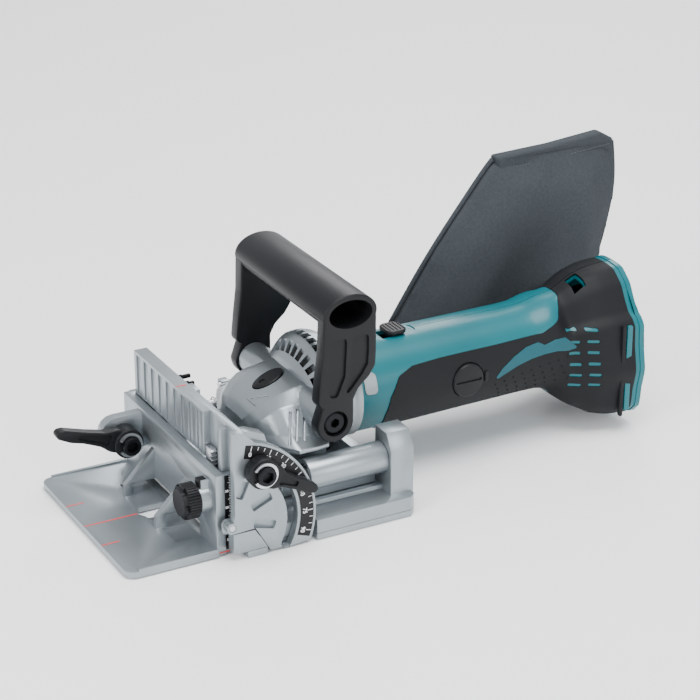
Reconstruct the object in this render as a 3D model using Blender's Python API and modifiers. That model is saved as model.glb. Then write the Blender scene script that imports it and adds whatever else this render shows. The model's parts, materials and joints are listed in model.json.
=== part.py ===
"""Cordless biscuit joiner: base with blade cover, plunging motor body, tilting angle guide and height fence.

Lengths are in millimetres, x from the fence's front face towards the battery foot, y from the centre plane
(the near side, on the user's left, is negative) and z up from the sole. at() turns them into the row's metres,
with the origin on the sole below the spindle at rest.
"""
import math

import bmesh
import bpy
from mathutils import Matrix, Vector

MM = 0.001
GAP = 0.3                       # clearance between touching pieces

SPINDLE_X = 62.5                # spindle axis at rest, behind the fence's front face
MOTOR_Z = 54.0                  # motor axis above the sole
STROKE = 26.5                   # plunge travel

BASE_REAR, BASE_HALF = 122.5, 71.5
BASE_FRONT = 15.4
SOLE_TOP = 3.6
LEDGE_Z = 12.0
ROOF_Z = 14.5
CHAMBER_Z = 11.3
BLADE_R = 49.5
BLADE_LOW, BLADE_HIGH = 6.6, 9.0
CHAMBER_R = 51.5

ROD_Y, ROD_Z, ROD_R = 53.0, 32.0, 4.0
TUBE_R, TUBE_FRONT, TUBE_REAR = 9.2, 60.0, 109.0
SPRING_R, SPRING_WIRE = 5.4, 0.5

PIVOT_X, PIVOT_Z = 6.5, 20.0    # angle guide's tilt axis
CHEEK_OUT = 66.0                # base cheeks' outer face
QUAD_IN, QUAD_OUT = 66.3, 71.5  # quadrant plate
QUAD_R = 51.0
SLOT_R, SLOT_HALF = 36.5, 3.3
CLAMP_ANGLE = 64.0              # where the clamp bolt stands on the slot's circle, degrees

GUIDE_FRONT, GUIDE_BACK = 6.7, 14.8
GUIDE_HALF, GUIDE_TOP = 58.2, 76.3
FAR_TOP = 45.0                  # top of the guide's far arm and of the base's far cheek
FENCE_HALF, FENCE_TOP, FENCE_BACK = 62.5, 49.0, 6.2
PLATE_FRONT, PLATE_HALF, PLATE_TOP = -53.0, 64.0, 4.0
FENCE_LOW = 0.4
POCKET_X, POCKET_R = 34.0, 52.0

KNOB_Y, KNOB_Z, KNOB_R = -48.6, 31.0, 10.5
PINION_R, PINION_TEETH = 4.0, 10
FENCE_LEVER = (-11.9, 33.9)

HANDLE_IN, HANDLE_OUT = 47.0, 56.0
BOSS = (78.5, 60.5)             # handle bolt axis, x and z
GRIP = (88.0, 124.8)            # grip tube's centre, x and z

HOUSING_FRONT, FOOT_REAR = 111.4, 300.0
WALL = 2.4
SKIN = 1.5                      # thickness of the rubber grip outside the shells

TURRET_Y, TURRET_Z = 64.5, 44.5
STOP_R = 5.4                    # radius of the circle of depth steps
BAG_Y = 70.0

FINISHES = {                    # colour, roughness, metallic
    "cast_paint": ((0.50, 0.57, 0.62), 0.42, 0.55),
    "steel": ((0.55, 0.56, 0.58), 0.3, 1.0),
    "bronze": ((0.55, 0.38, 0.16), 0.35, 1.0),
    "copper": ((0.62, 0.30, 0.15), 0.35, 1.0),
    "teal_plastic": ((0.0, 0.27, 0.31), 0.38, 0.0),
    "black_plastic": ((0.025, 0.027, 0.03), 0.5, 0.0),
    "rubber": ((0.03, 0.032, 0.035), 0.75, 0.0),
    "scale_black": ((0.012, 0.012, 0.013), 0.45, 0.0),
    "cloth": ((0.055, 0.065, 0.078), 0.95, 0.0),
}

for old in list(bpy.data.objects):
    bpy.data.objects.remove(old)
PARTS = bpy.data.collections.new("biscuit_joiner")
CUTTERS = bpy.data.collections.new("cutters")
for group in (PARTS, CUTTERS):
    bpy.context.scene.collection.children.link(group)


# ---- helpers ----------------------------------------------------------------------------------------------

def at(x, y, z):
    """A point in the row's frame, in metres."""
    return Vector(((x - SPINDLE_X) * MM, y * MM, z * MM))


def finish(name):
    """The shared Principled material of that name."""
    found = bpy.data.materials.get(name)
    if found:
        return found
    colour, roughness, metallic = FINISHES[name]
    made = bpy.data.materials.new(name)
    made.use_nodes = True
    shader = made.node_tree.nodes["Principled BSDF"]
    shader.inputs["Base Color"].default_value = (*colour, 1.0)
    shader.inputs["Roughness"].default_value = roughness
    shader.inputs["Metallic"].default_value = metallic
    made.diffuse_color = (*colour, 1.0)
    return made


def add(name, mesh, look, place=None):
    """A new object in the parts collection, or in the cutters' one when look is None."""
    made = bpy.data.objects.new(name, mesh)
    if look is None:
        CUTTERS.objects.link(made)
        made.hide_render = True
        made.display_type = "WIRE"
    else:
        PARTS.objects.link(made)
        mesh.materials.clear()
        mesh.materials.append(finish(look))
    if place is not None:
        made.matrix_world = place
    return made


def box(name, low, high, look=None, bevel=0.0):
    """A block between two corners, with its edges rounded by bevel."""
    mesh = bpy.data.meshes.new(name)
    shape = bmesh.new()
    bmesh.ops.create_cube(shape, size=1.0)
    size = [(b - a) * MM for a, b in zip(low, high)]
    bmesh.ops.scale(shape, vec=size, verts=shape.verts)
    shape.to_mesh(mesh)
    shape.free()
    centre = at(*[(a + b) / 2 for a, b in zip(low, high)])
    made = add(name, mesh, look, Matrix.Translation(centre))
    if bevel:
        round_edges(made, bevel)
    return made


def round_edges(target, width, segments=1, limit=35.0):
    """A Bevel modifier on the edges sharper than limit degrees."""
    bevel = target.modifiers.new("rounded", "BEVEL")
    bevel.width = width * MM
    bevel.segments = segments
    bevel.limit_method = "ANGLE"
    bevel.angle_limit = math.radians(limit)


def rod(name, start, end, radius, look=None, sides=24, far_radius=None):
    """A cylinder, or a cone, between two points."""
    a, b = at(*start), at(*end)
    mesh = bpy.data.meshes.new(name)
    shape = bmesh.new()
    bmesh.ops.create_cone(
        shape, cap_ends=True, segments=sides, radius1=radius * MM,
        radius2=(radius if far_radius is None else far_radius) * MM, depth=(b - a).length)
    shape.to_mesh(mesh)
    shape.free()
    turn = (b - a).to_track_quat("Z", "Y").to_matrix().to_4x4()
    made = add(name, mesh, look, Matrix.Translation((a + b) / 2) @ turn)
    mesh.shade_smooth()
    mesh.set_sharp_from_angle(angle=math.radians(40))
    return made


def turned(name, profile, foot, axis, look=None, steps=24):
    """A profile of (radius, height) pairs, listed from the top down its outer side, turned about axis from foot."""
    mesh = bpy.data.meshes.new(name)
    points = [(r * MM, 0.0, h * MM) for r, h in profile]
    closed = profile[0][0] > 0 and profile[-1][0] > 0
    edges = [(i, i + 1) for i in range(len(points) - 1)]
    if closed:
        edges.append((len(points) - 1, 0))
    mesh.from_pydata(points, edges, [])
    turn = Vector(axis).to_track_quat("Z", "Y").to_matrix().to_4x4()
    made = add(name, mesh, look, Matrix.Translation(at(*foot)) @ turn)
    screw = made.modifiers.new("turned", "SCREW")
    screw.steps = steps
    screw.render_steps = steps
    screw.use_merge_vertices = True
    screw.merge_threshold = 0.00001
    screw.use_normal_calculate = False
    return made


PLANES = {                      # local x, local y and the thickness' direction
    "xy": Matrix(((1, 0, 0), (0, 1, 0), (0, 0, 1))),
    "xz": Matrix(((1, 0, 0), (0, 0, -1), (0, 1, 0))),
    "yz": Matrix(((0, 0, 1), (1, 0, 0), (0, 1, 0))),
}


def plate(name, outlines, plane, low, high, look=None):
    """Flat outlines (the first is the rim, the others are holes) in a plane, from low to high across it."""
    curve = bpy.data.curves.new(name, "CURVE")
    curve.dimensions = "2D"
    curve.fill_mode = "BOTH"
    curve.extrude = (high - low) / 2 * MM
    if not isinstance(outlines[0], list):
        outlines = [outlines]
    for outline in outlines:
        spline = curve.splines.new("POLY")
        spline.points.add(len(outline) - 1)
        for point, (u, v) in zip(spline.points, outline):
            point.co = (u * MM, v * MM, 0.0, 1.0)
        spline.use_cyclic_u = True
    middle = (low + high) / 2
    centre = {"xy": at(0, 0, middle), "xz": at(0, middle, 0), "yz": at(middle, 0, 0)}[plane]
    made = bpy.data.objects.new(name + "_curve", curve)
    CUTTERS.objects.link(made)
    made.matrix_world = Matrix.Translation(centre) @ PLANES[plane].to_4x4()
    return meshed(name, made, look)


def meshed(name, source, look=None):
    """The mesh of a curve object, welded, in its place."""
    bpy.context.view_layer.update()
    evaluated = source.evaluated_get(bpy.context.evaluated_depsgraph_get())
    mesh = bpy.data.meshes.new_from_object(evaluated)
    shape = bmesh.new()
    shape.from_mesh(mesh)
    bmesh.ops.remove_doubles(shape, verts=shape.verts, dist=0.000005)
    bmesh.ops.dissolve_limit(shape, angle_limit=0.001, verts=shape.verts, edges=shape.edges)
    bmesh.ops.recalc_face_normals(shape, faces=shape.faces)
    shape.to_mesh(mesh)
    shape.free()
    made = add(name, mesh, look, source.matrix_world.copy())
    bpy.data.objects.remove(source)
    return made


def arc(cx, cy, radius, start, end, count):
    """Points on a circle from start to end degrees, both included."""
    angles = [math.radians(start + (end - start) * i / (count - 1)) for i in range(count)]
    return [(cx + radius * math.cos(a), cy + radius * math.sin(a)) for a in angles]


def circle(cx, cy, radius, count=24):
    """A closed circle."""
    return arc(cx, cy, radius, 0, 360 - 360 / count, count)


def ellipse(cx, cy, half_x, half_y, count=28, tilt=0.0):
    """A closed ellipse, tilted by tilt degrees."""
    points = []
    for x, y in circle(0, 0, 1, count):
        turn = math.radians(tilt)
        u, v = x * half_x, y * half_y
        points.append((cx + u * math.cos(turn) - v * math.sin(turn), cy + u * math.sin(turn) + v * math.cos(turn)))
    return points


def rounded(points, radius, count=4):
    """The polygon with each corner turned into an arc, or only those with a radius when radius is a list."""
    made = []
    for i, corner in enumerate(points):
        r = radius[i] if isinstance(radius, (list, tuple)) else radius
        here, before, after = Vector(corner), Vector(points[i - 1]), Vector(points[(i + 1) % len(points)])
        if r <= 0:
            made.append(corner)
            continue
        a, b = (before - here).normalized(), (after - here).normalized()
        half = a.angle(b) / 2
        centre = here + (a + b).normalized() * (r / math.sin(half))
        start, end = here + a * (r / math.tan(half)), here + b * (r / math.tan(half))
        first = math.atan2(start.y - centre.y, start.x - centre.x)
        turn = math.atan2(end.y - centre.y, end.x - centre.x) - first
        turn = (turn + math.pi) % (2 * math.pi) - math.pi
        for k in range(count + 1):
            angle = first + turn * k / count
            made.append((centre.x + r * math.cos(angle), centre.y + r * math.sin(angle)))
    return made


def mirrored(outline):
    """The outline's points on +x, listed upwards, followed by their mirror images on -x."""
    return outline + [(-u, v) for u, v in reversed(outline)]


def loft(name, rings, look=None):
    """A skin over rings of points, each ring the same length, closed at both ends."""
    mesh = bpy.data.meshes.new(name)
    shape = bmesh.new()
    loops = [[shape.verts.new(at(*p)) for p in ring] for ring in rings]
    count = len(loops[0])
    for a, b in zip(loops, loops[1:]):
        for i in range(count):
            j = (i + 1) % count
            shape.faces.new((a[i], a[j], b[j]))
            shape.faces.new((a[i], b[j], b[i]))
    shape.faces.new(loops[0][::-1])
    shape.faces.new(loops[-1])
    bmesh.ops.recalc_face_normals(shape, faces=shape.faces)
    bmesh.ops.triangulate(shape, faces=[f for f in shape.faces if len(f.verts) > 3])
    shape.to_mesh(mesh)
    shape.free()
    mesh.shade_smooth()
    mesh.set_sharp_from_angle(angle=math.radians(40))
    return add(name, mesh, look)


def boolean(target, operation, others):
    """One Boolean modifier for each of the others."""
    for other in others:
        step = target.modifiers.new(operation.lower(), "BOOLEAN")
        step.operation = operation
        step.object = other
    return target


def cut(target, *others):
    return boolean(target, "DIFFERENCE", others)


def join(target, *others):
    return boolean(target, "UNION", others)


def pivot_at(target, x, y, z):
    """Moves the object's origin to a point, leaving its shape where it is."""
    bpy.context.view_layer.update()
    here = target.matrix_world.copy()
    moved = Matrix.Translation(at(x, y, z))
    target.data.transform(moved.inverted() @ here)
    target.matrix_world = moved
    return target


def both_sides(make):
    """Runs make(side, suffix) for the near side (-1) and the far side (+1)."""
    for side, suffix in ((-1, "near"), (1, "far")):
        make(side, suffix)


def span(side, inner, outer):
    """The low and high y of something between two distances from the centre plane."""
    return (inner, outer) if side > 0 else (-outer, -inner)


# ---- base -------------------------------------------------------------------------------------------------

def sole_plate():
    """The flat plate the tool stands on: it opens to change the blade."""
    outline = rounded(
        [(BASE_FRONT, -BASE_HALF), (BASE_REAR - 4, -BASE_HALF), (BASE_REAR, -BASE_HALF + 4),
         (BASE_REAR, BASE_HALF - 4), (BASE_REAR - 4, BASE_HALF), (BASE_FRONT, BASE_HALF)], 0)
    plate("sole_plate", outline, "xy", 0.0, SOLE_TOP, "cast_paint")
    made = bpy.data.objects["sole_plate"]
    cut(made, box("quadrant_gap", (27.4, -80, -2), (58.4, -66.0, SOLE_TOP + 2)),
        rod("sole_screw_hole", (117.5, 0, -1), (117.5, 0, 5), 2.5, sides=16),
        rod("sole_screw_sink", (117.5, 0, -1), (117.5, 0, 2.3), 4.4, sides=16))


def sole_screw():
    """Holds the sole plate to the blade cover."""
    turned("sole_screw", [(0, 10.0), (2.2, 10.0), (2.2, 2.0), (4.0, 2.0), (4.0, 0.6), (0, 0.6)],
           (117.5, 0, 0), (0, 0, 1), "steel", 16)


def blade_cover():
    """Cast cover over the blade, with the cheeks for the guide, the rod supports and the rear posts."""
    low = SOLE_TOP + GAP
    outline = [(BASE_FRONT, -BASE_HALF), (BASE_REAR - 4, -BASE_HALF), (BASE_REAR, -BASE_HALF + 4),
               (BASE_REAR, BASE_HALF - 4), (BASE_REAR - 4, BASE_HALF), (BASE_FRONT, BASE_HALF)]
    made = plate("blade_cover", outline, "xy", low, LEDGE_Z, "cast_paint")
    join(made, box("cover_roof", (BASE_FRONT, -54, 8), (BASE_REAR, 54, ROOF_Z)))
    knuckle = [(6.9, low), (27.1, low), (20.0, 16.2), (6.9, 16.2)]
    room = [(19.8, 17.2), (30.8, -2.0), (58.4, -2.0), (58.4, 17.2)]

    def side(s, suffix):
        join(made, plate("knuckle_" + suffix, knuckle, "xz", *span(s, 64.8, BASE_HALF)))
        join(made, box("rod_support_" + suffix, (20, span(s, 44.2, CHEEK_OUT)[0], 8),
                       (32, span(s, 44.2, CHEEK_OUT)[1], 43.0)))
        top = GUIDE_TOP - 2.5
        cheek = [(BASE_FRONT, 8), (32, 8), (32, 60), (29, 70), (20, top), (BASE_FRONT, top)]
        if s > 0:
            cheek = [(BASE_FRONT, 8), (32, 8), (32, FAR_TOP + 4), (20, FAR_TOP + 4), (BASE_FRONT, FAR_TOP)]
        join(made, plate("cheek_" + suffix, cheek, "xz", *span(s, 58.6, CHEEK_OUT)))
        ear = rounded([(2.6, 14.5), (19, 14.5), (19, 23.6), (2.6, 23.6)], [3, 0, 0, 3])
        join(made, plate("ear_" + suffix, ear, "xz", *span(s, 64.8, CHEEK_OUT)))
        post = [(45.4, 8), (64.0, 8), (64.0, 39.0), (58.5, 48.6), (45.4, 48.6)]
        post = [(s * y, z) for y, z in post]
        join(made, plate("post_" + suffix, post, "yz", 109.4, 124.0))
        cut(made, rod("rod_hole_" + suffix, (24, s * ROD_Y, ROD_Z), (126, s * ROD_Y, ROD_Z), ROD_R + GAP, sides=20))
        cut(made, rod("pin_hole_" + suffix, (PIVOT_X, s * 64, PIVOT_Z), (PIVOT_X, s * 67, PIVOT_Z), 2.1, sides=16))

    both_sides(side)
    join(made, box("turret_boss", (23.5, 60, 38.5), (32, 69.0, 50.5)))
    cut(made, plate("quadrant_room", room, "xz", -80, -66.0))
    chamber = (arc(SPINDLE_X, 0, CHAMBER_R, -90, 90, 19) + [(BASE_FRONT - 3, CHAMBER_R), (BASE_FRONT - 3, -CHAMBER_R)])
    cut(made, plate("blade_chamber", chamber, "xy", low - 2, CHAMBER_Z))
    slot = arc(SPINDLE_X, 0, 9, -90, 90, 9) + arc(SPINDLE_X - STROKE, 0, 9, 90, 270, 9)
    cut(made, plate("spindle_slot", slot, "xy", CHAMBER_Z - 2, ROOF_Z + 2))
    cut(made, rod("sole_thread", (117.5, 0, 2), (117.5, 0, 10.6), 2.5, sides=16))
    cut(made, box("dust_channel", (100, 26, low - 2), (130, 44, CHAMBER_Z)))
    clamp_x = PIVOT_X + SLOT_R * math.cos(math.radians(CLAMP_ANGLE))
    clamp_z = PIVOT_Z + SLOT_R * math.sin(math.radians(CLAMP_ANGLE))
    cut(made, rod("clamp_bolt_hole", (clamp_x, -57, clamp_z), (clamp_x, -68, clamp_z), 3.1, sides=20))
    cut(made, rod("turret_pin_hole", (22, TURRET_Y, TURRET_Z), (34, TURRET_Y, TURRET_Z), 2.3, sides=16))


def base_fittings():
    """Slide rods, hinge pins, the guide's clamp bolt and the depth turret's pin."""
    def side(s, suffix):
        rod("guide_rod_" + suffix, (24.4, s * ROD_Y, ROD_Z), (123.6, s * ROD_Y, ROD_Z), ROD_R, "steel", 20)
        rod("hinge_pin_" + suffix, (PIVOT_X, s * 65.0, PIVOT_Z), (PIVOT_X, s * 71.2, PIVOT_Z), 1.8, "steel", 16)

    both_sides(side)
    clamp_x = PIVOT_X + SLOT_R * math.cos(math.radians(CLAMP_ANGLE))
    clamp_z = PIVOT_Z + SLOT_R * math.sin(math.radians(CLAMP_ANGLE))
    turned("angle_clamp_bolt",
           [(0, 28.4), (5.4, 28.4), (5.4, 24.9), (2.8, 24.9), (2.8, 3.0), (5.6, 3.0), (5.6, 0), (0, 0)],
           (clamp_x, -55.2, clamp_z), (0, -1, 0), "black_plastic", 18)
    turned("turret_pin", [(0, 14.3), (3.0, 14.3), (3.0, 13.3), (2.0, 13.3), (2.0, 0), (0, 0)],
           (23.0, TURRET_Y, TURRET_Z), (1, 0, 0), "steel", 16)


def depth_turret():
    """A click-stop disc with a step of its own height for each cutting depth."""
    steps = [0, 13.0, 10.5, 3.0, 5.5, 8.0]
    made = turned("depth_turret", [(2.4, 3.6), (7.0, 3.6), (7.0, 0), (2.4, 0)],
                  (32.4, TURRET_Y, TURRET_Z), (1, 0, 0), "black_plastic", 24)
    for i, step in enumerate(steps):
        angle = math.radians(-90 + 60 * i)
        y, z = TURRET_Y + STOP_R * math.cos(angle), TURRET_Z + STOP_R * math.sin(angle)
        if i:
            join(made, rod(f"turret_step_{i}", (34.0, y, z), (36.0 + step, y, z), 1.4, sides=10))


# ---- dust collection --------------------------------------------------------------------------------------

NOZZLE_PATH = [(123.0, 35.0, 9.6), (130.0, 39.0, 11.0), (137.0, 48.0, 16.0), (144.0, 58.0, 24.0), (151.0, 66.4, 31.1),
               (157.6, 67.0, 32.0)]
NOZZLE_SHARE = [0.0, 0.25, 0.5, 0.8, 1.0, 1.0]
NOZZLE_R = 10.8
NOZZLE_TILT = math.radians(8)
MOUTH = Vector((math.cos(NOZZLE_TILT), 0.0, math.sin(NOZZLE_TILT)))


def nozzle_rings(grow):
    """Sections of the nozzle: flat at the base, round at the bag."""
    rings = []
    for centre, share in zip(NOZZLE_PATH, NOZZLE_SHARE):
        half_y, half_z = 9.5 + (NOZZLE_R - 9.5) * share + grow, 5.0 + (NOZZLE_R - 5.0) * share + grow
        tilt, power = NOZZLE_TILT * share, 0.55 + 0.45 * share
        ring = []
        for u, v in circle(0, 0, 1, 16):
            u = math.copysign(abs(u) ** power, u) * half_y
            v = math.copysign(abs(v) ** power, v) * half_z
            x, y, z = centre
            ring.append((x - v * math.sin(tilt), y + u, z + v * math.cos(tilt)))
        rings.append(ring)
    return rings


def dust_nozzle():
    """Elbow from the blade chamber to the dust bag's mouth."""
    made = loft("dust_nozzle", nozzle_rings(0.0), "black_plastic")
    inner = nozzle_rings(-1.8)
    first = [(x - 6, y, z) for x, y, z in inner[0]]
    last = [(x + 6 * MOUTH.x, y, z + 6 * MOUTH.z) for x, y, z in inner[-1]]
    cut(made, loft("nozzle_bore", [first, *inner, last]))


def bag_parts():
    """The bag's collar and the bag itself, as a plain closed solid with its true outline."""
    turned("bag_collar", [(NOZZLE_R + 0.5, 9.0), (13.6, 9.0), (13.6, 0.0), (NOZZLE_R + 0.5, 0.0)],
           (152.9, 67.0, 31.3), MOUTH, "black_plastic", 20)
    outline = rounded(
        [(169, 42), (171, 20), (190, 20), (300, 46), (334, 58), (342, 84), (350, 118), (346, 150), (334, 155),
         (296, 151), (255, 149), (215, 98), (184, 52)], [4, 6, 8, 20, 14, 20, 14, 5, 5, 30, 8, 60, 10], 3)
    bag = plate("dust_bag", outline, "xz", BAG_Y - 18, BAG_Y + 18, "cloth")
    round_edges(bag, 9.0, 2, 60.0)
    neck = rod("bag_neck", (162.3, 67.0, 32.7), (186.0, 67.0, 36.0), 12.2, sides=20)
    join(bag, neck)


# ---- plunge body ------------------------------------------------------------------------------------------

def slide_carriage():
    """Plate under the gear housing with the two tubes that run on the rods."""
    made = box("slide_carriage", (44.5, -42.5, 15.2), (108.0, 42.5, 23.6), "cast_paint")

    def side(s, suffix):
        tube = rod("tube_" + suffix, (TUBE_FRONT, s * ROD_Y, ROD_Z), (TUBE_REAR, s * ROD_Y, ROD_Z), TUBE_R, sides=28)
        low, high = span(s, 38, 50)
        join(made, tube, box("tube_web_" + suffix, (TUBE_FRONT + 1, low, 15.2), (TUBE_REAR - 2, high, 33.0)))
        cut(made, rod("spring_bore_" + suffix, (TUBE_FRONT - 2, s * ROD_Y, ROD_Z), (95.0, s * ROD_Y, ROD_Z), 6.6,
                      sides=24),
            rod("bush_bore_" + suffix, (93.0, s * ROD_Y, ROD_Z), (TUBE_REAR + 2, s * ROD_Y, ROD_Z), 6.6, sides=24))

    both_sides(side)
    stop_z = TURRET_Z - STOP_R
    join(made, box("stop_lug", (64.0, 60.4, 31.0), (69.0, TURRET_Y + 2.9, 36.4)),
         box("stop_lug_top", (64.0, TURRET_Y - 2.9, 35.0), (69.0, TURRET_Y + 2.9, stop_z + 2.9)))
    cut(made, rod("stop_screw_hole", (60, TURRET_Y, stop_z), (72, TURRET_Y, stop_z), 2.3, sides=16),
        rod("bearing_seat", (SPINDLE_X, 0, 17.0), (SPINDLE_X, 0, 26), 13.3, sides=32),
        rod("spindle_clear", (SPINDLE_X, 0, 13), (SPINDLE_X, 0, 26), 8.0, sides=24))


def carriage_fittings():
    """Bushes, return springs and the depth adjusting screw."""
    def side(s, suffix):
        turned("slide_bush_" + suffix, [(ROD_R + GAP, 13.0), (6.3, 13.0), (6.3, 0), (ROD_R + GAP, 0)],
               (95.6, s * ROD_Y, ROD_Z), (1, 0, 0), "bronze", 20)
        coil("return_spring_" + suffix, (32.8, s * ROD_Y, ROD_Z), 62.0, SPRING_R, 9)

    both_sides(side)
    turned("depth_screw", [(0, 30.0), (3.6, 30.0), (3.6, 24.0), (2.0, 24.0), (2.0, 0), (0, 0)],
           (63.0, TURRET_Y, TURRET_Z - STOP_R), (1, 0, 0), "steel", 16)


def coil(name, start, length, radius, turns):
    """A compression spring along x, with six points a turn."""
    curve = bpy.data.curves.new(name, "CURVE")
    curve.dimensions = "3D"
    curve.bevel_depth = SPRING_WIRE * MM
    curve.bevel_resolution = 0
    curve.use_fill_caps = True
    count = turns * 6 + 1
    spline = curve.splines.new("POLY")
    spline.points.add(count - 1)
    for i, point in enumerate(spline.points):
        angle = math.tau * i / 6
        x = SPRING_WIRE + (length - 2 * SPRING_WIRE) * i / (count - 1)
        point.co = (x * MM, radius * math.cos(angle) * MM, radius * math.sin(angle) * MM, 1.0)
    source = bpy.data.objects.new(name + "_curve", curve)
    CUTTERS.objects.link(source)
    source.matrix_world = Matrix.Translation(at(*start))
    return meshed(name, source, "steel")


def super_ring(x, half_y, low, high, power, count=28):
    """A rounded section at x: power 1 is an ellipse, less is squarer."""
    centre, half_z = (low + high) / 2, (high - low) / 2
    ring = []
    for u, v in circle(0, 0, 1, count):
        ring.append((x, math.copysign(abs(u) ** power, u) * half_y,
                     centre + math.copysign(abs(v) ** power, v) * half_z))
    return ring


def wedge_ring(x, top, *corners):
    """A section of the gear housing from its ridge down one side and up the other."""
    *corners, foot = corners
    right = list(zip(corners[0::2], corners[1::2]))
    left = [(-y, z) for y, z in reversed(right)]
    return [(x, y, z) for y, z in [(0, top), *right, (0, foot), *left]]


def gear_housing():
    """Cast head over the bevel gears, with the raised exhaust collar and the handle's bosses."""
    low = 23.6 + GAP
    sections = [
        (42.5, (52.6, 11, 52.3, 17, 50.0, 19.5, 46.5, 21, 43.8, 21, 40, 20.5, 37, 15, 34, 34)),
        (46.0, (58.5, 14, 58.0, 22.5, 55.0, 27, 49.0, 31, 45.6, 31, 42.5, 29, 38, 28, 27, 27)),
        (52.0, (63.0, 17, 62.5, 26, 60.0, 36, 50.5, 44, 46.8, 44, 43.8, 37.4, 43.2, 37.4, low, low)),
        (58.0, (66.0, 18, 65.5, 28, 63.0, 41, 51.0, 51.5, 46.4, 51.5, 43.8, 37.4, 43.2, 37.4, low, low)),
        (70.0, (71.0, 20, 70.0, 30, 64.5, 43, 50.0, 51.5, 46.4, 51.5, 43.8, 37.4, 43.2, 37.4, low, low)),
        (77.0, (73.5, 20, 72.5, 31, 66.0, 42, 51.0, 51.0, 46.4, 51.0, 43.8, 37.4, 43.2, 37.0, low, low)),
        (80.5, (83.0, 17, 80.5, 30, 71.0, 38, 53.0, 42, 46.4, 42, 43.8, 37.2, 43.0, 34.0, low, low)),
        (87.0, (90.6, 16, 87.0, 29, 77.0, 36.6, 60.0, 37, 51.0, 36.6, 45.0, 35.4, 38.0, 28.0, low, low)),
        (94.0, (91.0, 16, 87.4, 29, 77.2, 36.6, 60.0, 37, 51.0, 36.6, 45.0, 35.4, 38.0, 28.0, low, low))]
    made = loft("gear_housing", [wedge_ring(x, *heights) for x, heights in sections], "cast_paint")
    join(made, rod("cross_boss", (BOSS[0], -46.7, BOSS[1]), (BOSS[0], 46.7, BOSS[1]), 10.0, sides=25))
    cut(made, rod("gear_cavity", (SPINDLE_X, 0, 20), (SPINDLE_X, 0, 51), 16.8, sides=33),
        rod("spindle_cavity", (SPINDLE_X, 0, 48), (SPINDLE_X, 0, 60), 7.0, sides=21),
        rod("shaft_cavity", (67, 0, MOTOR_Z), (96, 0, MOTOR_Z), 12.4, sides=25),
        rod("fan_cavity", (88, 0, MOTOR_Z), (96, 0, MOTOR_Z), 24.5, sides=33),
        rod("lock_button_hole", (67.4, 0, 58.0), (67.4, 0, 80), 4.5, sides=19),
        plate("lock_recess", ellipse(64.6, 0, 9.5, 7.1, 24), "xy", 68.7, 80))
    for s in (-1, 1):
        cut(made, rod(f"handle_bolt_hole_{s}", (BOSS[0], s * 31, BOSS[1]), (BOSS[0], s * 48, BOSS[1]), 3.3, sides=16))
    for row, (x, z) in enumerate(((82.0, 84.5), (77.5, 77.5))):
        for k in (-1.5, -0.5, 0.5, 1.5):
            y = k * (10.5 - row)
            drop = 0.010 * y * y
            cut(made, box(f"exhaust_{row}_{k}", (x - 8, y - 3.4, z - 2.4 - drop), (x + 10, y + 3.4, z + 2.4 - drop)))


def bearing_plate():
    """Ring between the gear housing and the motor's shells that holds the armature's front bearing."""
    made = loft("bearing_plate",
                [super_ring(94.3, 34.8, 27, 90.5, 0.95), super_ring(103, 33, 26, 87, 0.95),
                 super_ring(HOUSING_FRONT - GAP, 29, 25, 83, 1.0)], "cast_paint")
    cut(made, rod("fan_room", (93, 0, MOTOR_Z), (104.0, 0, MOTOR_Z), 24.5, sides=32),
        rod("front_bearing_seat", (100, 0, MOTOR_Z), (114, 0, MOTOR_Z), 11.4, sides=32))
    for k in range(6):
        angle = math.radians(60 * k + 30)
        y, z = 18 * math.cos(angle), MOTOR_Z + 18 * math.sin(angle)
        cut(made, rod(f"air_hole_{k}", (100, y, z), (114, y, z), 3.6, sides=12))


BODY = [                        # motor housing: x, half width, bottom, top, squareness
    (HOUSING_FRONT, 28.5, 25.5, 82.5, 1.0), (128, 28.5, 25.5, 82.5, 1.0), (150, 27.8, 26.0, 82.0, 0.95),
    (200, 27.0, 27.0, 82.0, 0.92), (238, 27.0, 27.0, 83.0, 0.92), (250, 29.0, 24.0, 87.0, 0.92),
]
FOOT = [                        # outline of the battery foot from the bottom up, y and z, on one side
    (0, 6), (16, 6), (30, 8), (36.5, 15), (37.5, 26), (37.5, 40), (37.5, 56), (37.0, 68), (34, 72), (29, 75),
    (25, 81), (20, 90), (12, 96.5), (8, 97.6), (0, 98),
]


RAYS = 32


def reach(outline, angle):
    """How far a ray from the motor axis goes before it leaves a closed outline of y and z."""
    ray = Vector((math.cos(angle), math.sin(angle)))
    for i, end in enumerate(outline):
        a = Vector(outline[i - 1]) - Vector((0, MOTOR_Z))
        b = Vector(end) - Vector((0, MOTOR_Z))
        side = b - a
        cross = ray.x * side.y - ray.y * side.x
        if abs(cross) < 1e-9:
            continue
        along = (a.x * side.y - a.y * side.x) / cross
        share = (a.x * ray.y - a.y * ray.x) / cross
        if along > 0 and -1e-9 <= share <= 1 + 1e-9:
            return along
    return 0.0


def ray_ring(x, outline, grow, share=1.0):
    """A section at x through an outline, drawn in by share and then grown outwards by grow along every ray."""
    ring = []
    for i in range(RAYS):
        angle = -math.pi / 2 + math.tau * (i + 0.5) / RAYS
        r = reach(outline, angle) * share + grow
        ring.append((x, r * math.cos(angle), MOTOR_Z + r * math.sin(angle)))
    return ring


def foot_ring(x, grow, share=1.0):
    """The battery foot's section at x."""
    return ray_ring(x, FOOT + [(-y, z) for y, z in reversed(FOOT[1:-1])], grow, share)


def body_ring(x, half_y, low, high, power, grow):
    """A motor housing section at x."""
    outline = [(y, z) for _, y, z in super_ring(x, half_y, low, high, power, 48)]
    return ray_ring(x, outline, grow)


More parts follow.
